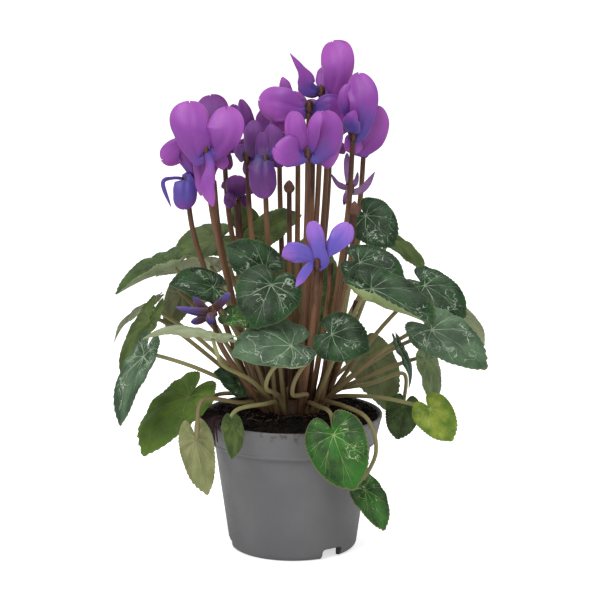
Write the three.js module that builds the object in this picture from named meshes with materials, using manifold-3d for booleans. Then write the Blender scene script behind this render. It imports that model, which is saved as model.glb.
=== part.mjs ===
// A cyclamen in bloom in its nursery pot. Millimetres, +Z up. The origin is at the centre of the pot's
// underside, and the front of the plant is toward -Y.

import * as THREE from 'three';
import { mergeVertices } from 'three/addons/utils/BufferGeometryUtils.js';
import Module from 'manifold-3d';

const wasm = await Module();
wasm.setup();

// ---------------------------------------------------------------- driving dimensions

const GAP = 0.35; // air between pieces that touch

const POT = {
  rimRadius: 52.5,
  height: 80,
  rimBand: 16.5, // height of the band under the rim
  rimDraft: 3.7, // how much the band narrows towards its lower edge
  step: 2.95, // how far the wall steps in under the band
  baseRadius: 37.6,
  baseRound: 4, // radius of the rounded edge at the base
  wall: 1.2,
  floor: 1.6,
  lipFold: 1.4, // how far the lip of the rim rolls in
  edge: 0.6, // bevel of the lip and of the band's lower edge
  sides: 28,
};
const FOOT = { centreRadius: 14, channelRadius: 33, channelHeight: 6.2, ringWidth: 1.2, draft: 2 };
const NOTCH = { count: 3, width: 14, height: 6.2, depth: 12, firstAngle: -52 };

const SOIL = { edgeBelowRim: 1.8, heap: 4.7, bump: 1.1, hollowRadius: 24.5 };
const TUBER = { radius: 24, top: 88, halfHeight: 13, sides: 14 };

// bow: arch from joint to tip; cup: droop of the sides; wave: edge ripple; as shares of the leaf's length
const LEAF = { thickness: 0.9, innerSpokes: 10, tooth: 0.022, bow: 0.1, cup: 0.35, wave: 0.03 };
const PETAL = {
  thickness: 0.75,
  narrow: 18, // up to this width, in steps of the drawing, a petal is flat across
  cup: 0.25, // how far the edges lie back, as a share of the half width
  lean: 0.35, // how far the faces turn outward at the edges
  neck: 5, // width at the throat, in steps of the drawing
  rows: [0, 3 / 9, 5 / 9, 7 / 9, 1], // the neck, then the four widths from root to tip
};
// The drawing's viewpoint: how far before the pot's axis, how high, how far it looks down in radians, how
// many steps of the drawing span one unit at distance one, where its middle and the pot's axis lie on it, and
// the millimetres that one step spans at the axis.
const VIEW = { away: 1300, up: 399.5, down: 0.192, steps: 2283.9, middle: 300, axis: 292.66, step: 0.58 };
const THROAT = { radius: 3.2, height: 6.5, sides: 5 };
const STALK = { flowerRadius: 1.6, leafRadius: 1.25, sides: 4, steps: 4, rootDepth: 9 };

const TONE = {
  pot: 0x6c6d70,
  soil: 0x1f1712,
  stalk: 0x6e4c3c,
  leaf: 0x2f4a35,
  bright: 0x55772f,
  olive: 0x5c6a3a,
  pale: 0x8f9a72,
  petal: 0x9a4fb4,
  bluePetal: 0x6c55b0,
  spentPetal: 0xb79ab8,
  bud: 0x5b4038,
};

// ---------------------------------------------------------------- where the leaves and blooms are

// joint: where the stalk meets the blade; tip: the blade's point; up: the way the upper face looks;
// wide: width against the usual heart.
// Leaf stalks that would meet something on the straight way pass through the points in STALK_WAYS.
const LEAVES = [
  { name: 'back_left', joint: [-44, 35, 177], tip: [-70, 25, 167], up: [-0.2, -0.6, 0.8], tone: 'bright' },
  { name: 'left_arm', joint: [-71, -6, 169], tip: [-100, -17, 149], up: [-0.35, -0.45, 0.8], wide: 0.75 },
  {
    name: 'left_pale', joint: [-48, 16, 164], tip: [-80, 12, 157],
    up: [-0.1, 0.5, 0.85], wide: 0.75, tone: 'pale',
  },
  { name: 'left_dark', joint: [-45, -36, 161], tip: [-69, -48, 165], up: [-0.1, -0.75, 0.65], wide: 0.85 },
  { name: 'left_droop', joint: [-84, 12, 141], tip: [-105, 6, 121], up: [-0.6, 0.3, 0.75], wide: 0.7 },
  {
    name: 'left_hang', joint: [-82, -20, 138], tip: [-96, -27, 99],
    up: [-0.7, -0.6, 0.3], wide: 0.5, tone: 'olive',
  },
  {
    name: 'left_small', joint: [-66, 26, 146], tip: [-75, 26, 124],
    up: [0.2, 0.9, 0.3], wide: 0.7, tone: 'olive',
  },
  { name: 'left_low', joint: [-84, -41, 122], tip: [-98, -47, 83], up: [-0.55, -0.8, 0.2], wide: 0.42 },
  {
    name: 'left_flat', joint: [-44, -66, 138], tip: [-83, -69, 138],
    up: [0.05, 0.44, 0.9], wide: 0.55, tone: 'pale',
  },
  { name: 'mid_upper', joint: [-16, -31, 171], tip: [-38, -29, 184], up: [-0.2, -0.9, 0.5], wide: 0.95 },
  { name: 'mid_lower', joint: [-12, -50, 165], tip: [-21, -62, 142], up: [0, -0.85, 0.5], wide: 1.3 },
  { name: 'mid_bright', joint: [-33, -40, 145], tip: [-13, -46, 140], up: [0.1, -0.5, 0.85], tone: 'bright' },
  { name: 'back_olive', joint: [-27, 52, 184], tip: [-38, 54, 195], up: [-0.3, -0.7, 0.5], tone: 'olive' },
  {
    name: 'back_curl', joint: [-20, 36, 178], tip: [5, 32, 192],
    up: [-0.4, -0.7, 0.6], wide: 0.8, tone: 'olive',
  },
  { name: 'right_top', joint: [42, -6, 197], tip: [58, -14, 180], up: [0.1, -0.9, 0.4], wide: 1.1 },
  {
    name: 'right_rear', joint: [59, 12, 179], tip: [76, 10, 160],
    up: [0.5, 0.5, 0.7], wide: 0.85, tone: 'bright',
  },
  { name: 'right_inner', joint: [38, -36, 175], tip: [63, -39, 165], up: [0, -0.6, 0.8], wide: 1.1 },
  { name: 'right_big', joint: [44, -58, 164], tip: [78, -70, 141], up: [0.25, -0.6, 0.75], wide: 0.85 },
  { name: 'right_outer', joint: [76, -10, 157], tip: [99, -16, 139], up: [0.3, -0.7, 0.6], wide: 0.95 },
  { name: 'right_far', joint: [79, -34, 136], tip: [110, -42, 115], up: [0.2, -0.75, 0.6], wide: 0.8 },
  {
    name: 'right_pale', joint: [94, 6, 139], tip: [112, 2, 119],
    up: [0.5, 0.6, 0.6], wide: 0.7, tone: 'pale',
  },
  {
    name: 'right_hang', joint: [78, 2, 110], tip: [80, -2, 82],
    up: [0.8, -0.6, 0.1], wide: 0.75, tone: 'olive',
  },
  { name: 'right_bright', joint: [79, -22, 87], tip: [92, -26, 69], up: [0.1, -0.9, 0.3], tone: 'bright' },
  { name: 'right_shade', joint: [66, 21, 78], tip: [62, 21, 58], up: [0.1, -0.8, 0.3] },
  { name: 'front_left', joint: [-1, -63, 133], tip: [-34, -72, 129], up: [0.05, -0.65, 0.75], wide: 1.1 },
  { name: 'front_right', joint: [22, -56, 138], tip: [43, -63, 130], up: [0.05, -0.9, 0.4], wide: 1.2 },
  { name: 'front_low', joint: [23, -62, 82], tip: [35, -67, 51], up: [-0.1, -0.97, 0.15], tone: 'bright' },
  {
    name: 'front_folded', joint: [-34, -57, 86], tip: [-34, -63, 68],
    up: [0.5, -0.8, 0.2], wide: 0.7, tone: 'olive',
  },
  {
    name: 'low_left', joint: [-60, -14, 92], tip: [-86, -28, 60],
    up: [-0.35, -0.55, 0.75], wide: 0.8, tone: 'bright',
  },
  {
    name: 'low_left_hang', joint: [-55, -41, 74], tip: [-48, -48, 43],
    up: [-0.3, 0.9, 0.3], wide: 0.6, tone: 'pale',
  },
  { name: 'right_edge', joint: [60, -34, 126], tip: [66, -38, 103], up: [0.9, -0.3, 0.3], wide: 0.6 },
  { name: 'inner_dark', joint: [45, 38, 106], tip: [55, 36, 72], up: [0.3, 0.7, 0.65] },
  {
    name: 'low_right_trail', joint: [41, -48, 46], tip: [52, -51, 23],
    up: [0.4, -0.7, 0.5], wide: 0.8, tone: 'bright',
  },
  { name: 'inner_left', joint: [-31, -30, 104], tip: [-45, -36, 112], up: [0, -0.7, 0.7] },
  { name: 'rear_left', joint: [-44, 46, 147], tip: [-62, 72, 125], up: [-0.4, 0.6, 0.7] },
  { name: 'rear_mid', joint: [4, 48, 132], tip: [10, 74, 172], up: [0, -0.7, 0.7] },
  { name: 'rear_right', joint: [46, 46, 152], tip: [62, 71, 130], up: [0.4, 0.6, 0.7] },
  { name: 'rear_low', joint: [-10, 60, 106], tip: [-14, 84, 78], up: [-0.1, 0.8, 0.5], wide: 1.1 },
];

const STALK_WAYS = {
  left_flat: [[-24, -38, 108], [-38, -60, 121]],
  front_left: [[-9, -31, 98], [-15, -44, 105], [-11, -55, 118]],
  front_right: [[8, -31, 98], [0, -44, 101], [4, -52, 116]],
  front_low: [[14, -34, 92], [21, -54, 93]],
  front_folded: [[-16, -34, 93], [-31, -47, 93]],
  low_right_trail: [[30, -32, 91], [43, -45, 86], [47, -50, 68]],
  back_olive: [[-24, 54, 156]],
  right_shade: [[46, 18, 93], [66, 26, 97]],
  low_left_hang: [[-30, -30, 93], [-51, -42, 97]],
};

// The blooms are drawn as seen from the front. A place is [across, down] on a drawing of 600 by 600 steps,
// and a depth behind the pot's axis in millimetres. Each petal has a root, a middle and a tip, its width at
// four even steps from root to tip, and how far its broad side is turned from the front, in degrees.
const BLOOMS = [
  { name: 'left_front', throat: [206, 148, -24], petals: [
    [[199, 157, -25], [192, 130, -31], [189, 101, -27], [20, 33, 37, 37], -8],
    [[216, 151, -25], [227, 132, -31], [227, 107, -29], [20, 35, 38, 29], 10],
    [[210, 166, -33], [208, 188, -37], [213, 207, -37], [8, 13, 12, 5], 0],
    [[214, 152, -21], [221, 161, -20], [223, 170, -20], [13, 15, 13, 6], 0],
    [[201, 158, -18], [202, 176, -14], [201, 196, -14], [14, 15, 13, 6], 0],
  ] },
  { name: 'left_side', throat: [186, 179, -4], petals: [
    [[196, 174, -6], [182, 149, -12], [161, 160, -12], [16, 24, 26, 26], 0],
    [[186, 181, -9], [185, 195, -12], [184, 210, -10], [20, 23, 22, 19], 0],
    [[173, 178, -6], [163, 183, -9], [171, 207, -9], [3, 4, 4, 2], 0],
    [[194, 178, -2], [194, 166, 3], [191, 151, 5], [12, 13, 12, 9], 0],
    [[187, 182, -1], [188, 192, 3], [189, 203, 4], [6, 10, 10, 6], 0],
  ] },
  { name: 'left_back', throat: [224, 150, 22], petals: [
    [[218, 142, 20], [213, 120, 18], [210, 95, 18], [17, 28, 33, 29], 0],
    [[228, 146, 22], [233, 126, 24], [234, 104, 24], [14, 17, 18, 13], 0],
    [[218, 156, 24], [210, 170, 25], [206, 190, 24], [11, 14, 13, 6], 0],
    [[226, 152, 26], [228, 162, 28], [229, 170, 28], [7, 9, 8, 5], 0],
    [[230, 150, 26], [240, 146, 30], [248, 138, 32], [7, 10, 10, 6], 0],
  ] },
  { name: 'mid_left', throat: [247, 156, 4], petals: [
    [[252, 144, 4], [247, 120, 2], [241, 99, 2], [13, 14, 13, 8], 0],
    [[257, 160, -1], [255, 140, -5], [254, 120, -3], [17, 22, 21, 16], 0],
    [[243, 154, 6], [239, 152, 9], [234, 150, 11], [16, 17, 13, 8], 0],
    [[258, 158, 8], [268, 142, 11], [274, 124, 13], [11, 14, 13, 9], 0],
    [[250, 160, 8], [247, 168, 12], [246, 176, 13], [7, 10, 9, 5], 0],
  ] },
  { name: 'mid', throat: [265, 160, -20], petals: [
    [[264, 160, -23], [264, 179, -27], [265, 199, -25], [18, 28, 28, 21], 0],
    [[263, 156, -19], [262, 146, -17], [262, 132, -17], [13, 14, 12, 9], 0],
    [[270, 153, -18], [273, 139, -16], [271, 124, -14], [13, 17, 17, 11], 0],
    [[272, 160, -16], [279, 163, -14], [286, 164, -13], [8, 11, 10, 6], 0],
    [[262, 162, -14], [254, 166, -11], [248, 168, -9], [7, 9, 8, 4], 0],
  ] },
  { name: 'centre_back', throat: [309, 106, -8], petals: [
    [[299, 108, -9], [278, 102, -10], [258, 100, -6], [21, 36, 36, 31], 0],
    [[292, 102, -1], [286, 89, 1], [282, 77, 3], [8, 11, 11, 5], 0],
    [[302, 112, -6], [297, 101, -5], [296, 91, -3], [15, 18, 17, 13], 0],
    [[315, 112, -6], [331, 104, -10], [346, 124, -8], [15, 19, 20, 14], 0],
    [[299, 114, -3], [283, 122, 2], [269, 133, 5], [17, 19, 18, 9], 0],
  ] },
  { name: 'centre_front', throat: [308, 152, -40], petals: [
    [[301, 157, -43], [288, 153, -47], [274, 147, -45], [14, 32, 31, 22], 0],
    [[300, 152, -41], [296, 133, -45], [294, 111, -43], [18, 22, 20, 17], 0],
    [[317, 156, -42], [328, 136, -46], [325, 111, -46], [16, 30, 30, 24], 0],
    [[312, 146, -46], [314, 127, -52], [319, 111, -50], [8, 13, 13, 9], -20],
    [[319, 155, -36], [330, 155, -36], [340, 153, -34], [14, 26, 24, 15], 0],
  ] },
  { name: 'top', throat: [321, 91, -4], petals: [
    [[331, 94, -7], [337, 68, -13], [333, 41, -11], [17, 28, 33, 32], 0],
    [[309, 88, -9], [304, 74, -11], [290, 53, -11], [17, 16, 7, 2], 0],
    [[312, 93, -2], [305, 88, 0], [299, 85, 0], [10, 14, 14, 10], 0],
    [[325, 97, 0], [331, 103, 2], [336, 110, 3], [11, 13, 12, 6], 0],
    [[321, 86, 0], [322, 76, 4], [324, 66, 5], [7, 11, 11, 6], 0],
  ] },
  { name: 'back', throat: [328, 112, 28], petals: [
    [[328, 106, 26], [327, 96, 24], [326, 86, 24], [14, 17, 16, 11], 0],
    [[334, 112, 28], [342, 106, 30], [350, 100, 31], [13, 14, 12, 8], 0],
    [[322, 112, 28], [314, 106, 31], [306, 101, 32], [11, 14, 12, 8], 0],
    [[330, 118, 30], [334, 126, 33], [338, 134, 34], [7, 11, 10, 6], 0],
    [[324, 118, 30], [320, 127, 33], [317, 136, 34], [7, 11, 10, 6], 0],
  ] },
  { name: 'right', throat: [353, 134, -20], petals: [
    [[359, 133, -22], [365, 103, -29], [359, 73, -27], [17, 27, 31, 26], 0],
    [[349, 118, -22], [345, 101, -25], [349, 84, -23], [8, 13, 12, 9], 0],
    [[352, 131, -26], [351, 121, -31], [355, 110, -31], [15, 17, 12, 5], -10],
    [[361, 149, -14], [373, 132, -18], [378, 105, -18], [17, 27, 26, 19], 10],
    [[352, 139, -17], [354, 146, -17], [355, 154, -17], [13, 17, 17, 12], 0],
  ] },
  { name: 'right_back', throat: [364, 142, 12], petals: [
    [[364, 136, 10], [367, 122, 8], [369, 108, 8], [13, 16, 16, 10], 0],
    [[358, 138, 12], [352, 126, 12], [350, 112, 13], [11, 13, 12, 6], 0],
    [[369, 144, 14], [374, 140, 16], [378, 134, 17], [6, 9, 8, 4], 0],
    [[358, 146, 14], [354, 151, 16], [350, 154, 17], [6, 8, 7, 4], 0],
    [[365, 146, 16], [366, 152, 19], [366, 158, 20], [6, 8, 7, 4], 0],
  ] },
  { name: 'mid_low', throat: [238, 193, 26], petals: [
    [[238, 196, 20], [237, 186, 15], [237, 175, 15], [14, 22, 23, 17], 0],
    [[245, 191, 23], [251, 191, 22], [257, 191, 22], [6, 7, 5, 2], 0],
    [[233, 193, 17], [230, 200, 12], [229, 209, 12], [8, 13, 12, 6], 0],
    [[232, 188, 28], [226, 186, 30], [221, 187, 30], [6, 9, 9, 4], 0],
    [[242, 196, 28], [246, 203, 30], [249, 208, 31], [6, 8, 8, 4], 0],
  ] },
  { name: 'far_left', throat: [279, 140, 48], petals: [
    [[274, 134, 50], [268, 122, 51], [264, 108, 51], [14, 22, 22, 13], 180],
    [[285, 134, 50], [290, 122, 51], [294, 110, 51], [14, 22, 22, 13], 180],
    [[279, 134, 54], [279, 124, 57], [279, 114, 57], [14, 19, 18, 11], 180],
    [[274, 146, 51], [270, 153, 54], [267, 160, 54], [7, 11, 10, 5], 180],
    [[284, 146, 51], [288, 153, 54], [291, 160, 54], [7, 11, 10, 5], 180],
  ] },
  { name: 'far_right', throat: [330, 136, 46], petals: [
    [[325, 131, 48], [319, 120, 49], [315, 108, 49], [14, 22, 22, 13], 180],
    [[336, 131, 48], [342, 120, 49], [347, 108, 49], [14, 22, 22, 13], 180],
    [[330, 130, 52], [330, 120, 55], [330, 110, 55], [14, 19, 18, 11], 180],
    [[325, 142, 49], [320, 149, 52], [316, 156, 52], [7, 11, 10, 5], 180],
    [[335, 142, 49], [340, 148, 52], [344, 154, 52], [7, 11, 10, 5], 180],
  ] },
  { name: 'small_front', throat: [317, 263, -64], tone: 'bluePetal', petals: [
    [[313, 260, -66], [298, 254, -70], [282, 255, -68], [5, 18, 21, 14], 0],
    [[319, 262, -65], [317, 242, -69], [312, 221, -67], [19, 14, 16, 14], 0],
    [[325, 257, -64], [338, 241, -66], [350, 224, -64], [5, 15, 21, 17], 0],
    [[312, 264, -67], [304, 275, -69], [296, 287, -69], [6, 9, 8, 3], 0],
    [[322, 260, -61], [328, 254, -59], [334, 249, -59], [5, 7, 6, 3], 0],
  ] },
  { name: 'spent_left', throat: [213, 311, -52], tone: 'bluePetal', petals: [
    [[206, 313, -53], [192, 311, -55], [176, 307, -55], [9, 8, 6, 2], 0],
    [[206, 310, -51], [199, 303, -52], [193, 297, -52], [8, 8, 6, 3], 0],
    [[216, 308, -53], [224, 300, -55], [230, 293, -55], [8, 8, 7, 5], 0],
    [[206, 317, -53], [198, 321, -54], [191, 322, -54], [7, 8, 7, 4], 0],
    [[213, 313, -56], [211, 319, -59], [210, 325, -59], [7, 9, 8, 5], 0],
  ] },
  { name: 'star', throat: [350, 188, -12], tone: 'spentPetal', petals: [
    [[347, 188, -13], [338, 184, -14], [331, 174, -14], [5, 6, 4, 2], 0],
    [[352, 186, -12], [356, 181, -12], [358, 172, -12], [5, 6, 4, 2], 0],
    [[354, 192, -13], [365, 187, -14], [375, 172, -14], [6, 7, 6, 2], 0],
    [[348, 192, -14], [346, 198, -15], [344, 205, -15], [5, 6, 5, 3], 0],
    [[349, 184, -11], [347, 168, -10], [347, 153, -10], [5, 6, 6, 4], 0],
  ] },
];

const BUDS = [
  { name: 'bud_right', place: [35, -24, 204], radius: 2.6, height: 9 },
  { name: 'bud_dark', place: [-2, 0, 213], radius: 3, height: 8 },
];

// Stalks that end among the leaves and behind the blooms, drawn the same way.
const SPARE_TOPS = [
  [322, 250, 2], [331, 262, -14], [343, 276, -4], [356, 300, -10], [276, 305, -14],
  [262, 312, 8], [248, 318, -6], [238, 330, -16], [305, 282, 14], [214, 180, -12], [236, 204, 8],
  [298, 152, 4], [313, 148, 14],
];

// ---------------------------------------------------------------- small tools

/** A material from a tone name. */
function finish(tone, roughness = 0.6) {
  return new THREE.MeshStandardMaterial({ name: tone, color: TONE[tone], roughness, metalness: 0 });
}

/** A closed geometry as a solid that can be joined and cut. */
function toSolid(geometry) {
  const bare = geometry.clone();
  bare.deleteAttribute('normal');
  bare.deleteAttribute('uv');
  const merged = mergeVertices(bare, 1e-3);
  return new wasm.Manifold(new wasm.Mesh({
    numProp: 3,
    vertProperties: new Float32Array(merged.attributes.position.array),
    triVerts: new Uint32Array(merged.index.array),
  }));
}

/** A solid as a geometry again. */
function toGeometry(solid) {
  const mesh = solid.getMesh();
  const geometry = new THREE.BufferGeometry();
  geometry.setAttribute('position', new THREE.BufferAttribute(new Float32Array(mesh.vertProperties), 3));
  geometry.setIndex(new THREE.BufferAttribute(new Uint32Array(mesh.triVerts), 1));
  const flat = geometry.toNonIndexed();
  flat.computeVertexNormals();
  return flat;
}

const vector = (list) => new THREE.Vector3(...list);

/** Flat triangles from a list of points and a list of index triples. */
function facets(points, triples) {
  const geometry = new THREE.BufferGeometry();
  geometry.setAttribute('position', new THREE.Float32BufferAttribute(points.flatMap((p) => p.toArray()), 3));
  geometry.setIndex(triples.flat());
  return geometry;
}

/** Triples that close two like faces into a thin body: front, back turned over, and the rim between. */
function closeSheet(front, rim, backOffset) {
  const back = front.map(([a, b, c]) => [a + backOffset, c + backOffset, b + backOffset]);
  const edge = rim.flatMap((a, i) => {
    const b = rim[(i + 1) % rim.length];
    return [[a, a + backOffset, b], [b, a + backOffset, b + backOffset]];
  });
  return [...front, ...back, ...edge];
}

/** A round stalk of few sides along a smooth line through the points. */
function stalk(points, radius) {
  const path = new THREE.CatmullRomCurve3(points, false, 'catmullrom', 0.5);
  const corners = Array.from({ length: STALK.sides }, (_, i) => {
    const turn = (i / STALK.sides) * Math.PI * 2;
    return new THREE.Vector2(radius * Math.cos(turn), radius * Math.sin(turn));
  });
  return new THREE.ExtrudeGeometry(new THREE.Shape(corners), { steps: STALK.steps, extrudePath: path });
}

/** The solids joined into one geometry. */
function fuse(geometries) {
  return toGeometry(geometries.map(toSolid).reduce((sum, solid) => sum.add(solid)));
}

// ---------------------------------------------------------------- pot and soil

/** The inside of the pot from the centre of its floor up to the lip, as radius and height. */
function potInside() {
  const channelTop = FOOT.channelHeight + POT.floor;
  const bandFoot = POT.height - POT.rimBand;
  const bodyTop = POT.rimRadius - POT.rimDraft - POT.step;
  return [
    [0, POT.floor],
    [FOOT.centreRadius - FOOT.draft, POT.floor],
    [FOOT.centreRadius, channelTop],
    [POT.baseRadius - FOOT.draft, channelTop],
    [bodyTop - POT.wall, bandFoot + POT.wall],
    [bodyTop + POT.step - POT.wall, bandFoot + POT.wall + POT.edge],
    [POT.rimRadius - POT.wall - POT.lipFold, POT.height - POT.lipFold],
    [POT.rimRadius - POT.lipFold, POT.height],
  ];
}

/** The thin-walled pot: one turned shell with notches cut through its foot. */
function makePot() {
  const bandFoot = POT.height - POT.rimBand;
  const bandRadius = POT.rimRadius - POT.rimDraft;
  const round = [0, 45, 90].map((degrees) => {
    const turn = THREE.MathUtils.degToRad(degrees);
    const centre = POT.baseRadius - POT.baseRound;
    return [centre + POT.baseRound * Math.sin(turn), POT.baseRound * (1 - Math.cos(turn))];
  });
  const outside = [
    [0, 0],
    [FOOT.centreRadius, 0],
    [FOOT.centreRadius + FOOT.draft, FOOT.channelHeight],
    [FOOT.channelRadius, FOOT.channelHeight],
    [POT.baseRadius - POT.baseRound - FOOT.ringWidth, 0],
    ...round,
    [bandRadius - POT.step, bandFoot - POT.edge],
    [bandRadius, bandFoot],
    [POT.rimRadius, POT.height - POT.edge],
    [POT.rimRadius - POT.edge, POT.height],
  ];
  const profile = [...outside, ...potInside().reverse()].map(([r, z]) => new THREE.Vector2(r, z));
  const shell = new THREE.LatheGeometry(profile, POT.sides).rotateX(Math.PI / 2);
  let solid = toSolid(shell);
  for (let i = 0; i < NOTCH.count; i += 1) {
    const turn = THREE.MathUtils.degToRad(NOTCH.firstAngle + (360 / NOTCH.count) * i);
    const cut = new THREE.BoxGeometry(NOTCH.depth, NOTCH.width, NOTCH.height * 2);
    cut.translate(POT.baseRadius, 0, 0).rotateZ(turn);
    solid = solid.subtract(toSolid(cut));
  }
  return toGeometry(solid);
}

/** Height of the crumbs on the soil at a place. */
function crumb(x, y) {
  return 0.5 * (Math.sin(0.43 * x + 1.3) * Math.sin(0.37 * y + 0.4) + Math.sin(0.21 * x - 0.33 * y + 2.1));
}

/** The soil: it fills the pot, is heaped to the middle and has a plain hole for the tuber. */
function makeSoil() {
  const inside = potInside();
  const wall = inside.slice(1, -2).map(([r, z], i) => [r - (i < 2 ? 2 * GAP : GAP), z + GAP]);
  const brim = POT.height - SOIL.edgeBelowRim;
  const brimRadius = POT.rimRadius - POT.wall - POT.lipFold - 2 * GAP;
  const slope = [0.2, 0.6, 1].map((share) => [
    brimRadius + (SOIL.hollowRadius - brimRadius) * share,
    brim + SOIL.heap * Math.sin(share * Math.PI * 0.5),
  ]);
  const hollowFloor = TUBER.top - 2 * TUBER.halfHeight - GAP;
  const profile = [
    [0, inside[0][1] + GAP],
    ...wall,
    [brimRadius, brim],
    ...slope,
    [SOIL.hollowRadius, hollowFloor],
    [0, hollowFloor],
  ].map(([r, z]) => new THREE.Vector2(r, z));
  const soil = new THREE.LatheGeometry(profile, POT.sides).rotateX(Math.PI / 2);
  const spots = soil.attributes.position;
  for (let i = 0; i < spots.count; i += 1) {
    const fromAxis = Math.hypot(spots.getX(i), spots.getY(i));
    const open = spots.getZ(i) > brim - 0.1 && fromAxis > SOIL.hollowRadius - 1;
    spots.setZ(i, spots.getZ(i) + (open ? SOIL.bump * crumb(spots.getX(i), spots.getY(i)) : 0));
  }
  return soil;
}

// ---------------------------------------------------------------- leaves

/** Distance from the joint to the edge of a heart of length 1, at an angle from its point. */
function heart(angle) {
  const lobes = 0.6 - 0.09 * (1 - Math.cos(angle));
  const point = 0.28 * Math.max(0, Math.cos(angle)) ** 4 + 0.12 * Math.exp(-Math.abs(angle) / 0.16);
  const fromNotch = (Math.PI - Math.abs(angle)) / THREE.MathUtils.degToRad(16);
  return (lobes + point) * (1 - 0.75 * Math.exp(-(fromNotch ** 2)));
}

/** Height of the blade over its flat plane, in leaf lengths. */
function bladeHeight(leaf, x, y) {
  const arch = x > 0 ? 4 * LEAF.bow * x * (1 - x) : LEAF.bow * x;
  const ripple = LEAF.wave * Math.sin(3 * Math.atan2(y, x) + leaf.joint[0]) * Math.min(1, x * x + y * y);
  return arch - LEAF.cup * y * y + ripple;
}

/** The blade's own directions: along to the point, across, and out of the upper face. */
function bladeFrame(leaf) {
  const joint = vector(leaf.joint);
  const along = vector(leaf.tip).sub(joint);
  const size = along.length();
  along.normalize();
  const out = vector(leaf.up);
  out.addScaledVector(along, -out.dot(along)).normalize();
  return { joint, size, along, out, across: out.clone().cross(along) };
}

/** One heart-shaped blade with a toothed edge: two like faces and a thin rim. */
function makeBlade(leaf) {
  const { joint, size, along, out, across } = bladeFrame(leaf);
  const wide = leaf.wide ?? 1;
  const upper = [];
  const lower = [];
  const add = (x, y) => {
    const small = 0.01;
    const z = bladeHeight(leaf, x, y);
    const slopeX = (bladeHeight(leaf, x + small, y) - bladeHeight(leaf, x - small, y)) / (2 * small);
    const slopeY = (bladeHeight(leaf, x, y + small) - bladeHeight(leaf, x, y - small)) / (2 * small);
    const middle = joint.clone().addScaledVector(along, x * size).addScaledVector(across, y * size);
    middle.addScaledVector(out, z * size);
    const facing = out.clone().addScaledVector(along, -slopeX).addScaledVector(across, -slopeY).normalize();
    upper.push(middle.clone().addScaledVector(facing, LEAF.thickness / 2));
    lower.push(middle.clone().addScaledVector(facing, -LEAF.thickness / 2));
  };
  const ring = (count, share, tooth) => {
    for (let i = 0; i < count; i += 1) {
      const angle = Math.PI * (1 + (2 * i) / count) - 2 * Math.PI * (2 * i > count ? 1 : 0);
      const reach = heart(angle) * share * (1 + (i % 2 === 0 ? tooth : -tooth));
      add(reach * Math.cos(angle), reach * Math.sin(angle) * wide);
    }
  };
  const spokes = LEAF.innerSpokes;
  add(0, 0);
  ring(spokes, 0.55, 0);
  ring(2 * spokes, 1, LEAF.tooth);
  const inner = (i) => 1 + (i % spokes);
  const outer = (i) => 1 + spokes + (i % (2 * spokes));
  const front = [];
  for (let i = 0; i < spokes; i += 1) {
    front.push([0, inner(i), inner(i + 1)]);
    front.push([inner(i), outer(2 * i), outer(2 * i + 1)]);
    front.push([inner(i), outer(2 * i + 1), inner(i + 1)]);
    front.push([inner(i + 1), outer(2 * i + 1), outer(2 * i + 2)]);
  }
  const rim = Array.from({ length: 2 * spokes }, (_, i) => outer(i));
  return facets([...upper, ...lower], closeSheet(front, rim, upper.length));
}

/** Where a leaf's stalk runs: from the crown of the tuber to just under the joint. */
function leafStalkPoints(leaf) {
  const { joint, size, along, out } = bladeFrame(leaf);
  const end = joint.clone().addScaledVector(out, -(LEAF.thickness / 2 + 2 * GAP + STALK.leafRadius));
  const approach = end.clone().addScaledVector(along, -0.06 * size).addScaledVector(out, -0.22 * size);
  const via = (STALK_WAYS[leaf.name] ?? []).map(vector);
  const first = (via[0] ?? joint).clone().setZ(0).normalize();
  const root = first.multiplyScalar(TUBER.radius * 0.72).setZ(TUBER.top - STALK.rootDepth);
  const rise = root.clone().multiplyScalar(1.25).setZ(TUBER.top + 2);
  if (via.length === 0) {
    const middle = rise.clone().lerp(end, 0.5);
    middle.z += 0.06 * rise.distanceTo(end);
    via.push(middle);
  }
  return [root, rise, ...via, approach, end];
}

// ---------------------------------------------------------------- blooms

/** The place in space of a point on the drawing. */
function seen([across, down, depth]) {
  const right = (across - VIEW.axis) / VIEW.steps;
  const rise = (VIEW.middle - down) / VIEW.steps;
  const [cos, sin] = [Math.cos(VIEW.down), Math.sin(VIEW.down)];
  const reach = (depth + VIEW.away) / (cos + rise * sin);
  return new THREE.Vector3(right * reach, depth, VIEW.up + (rise * cos - sin) * reach);
}

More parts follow.
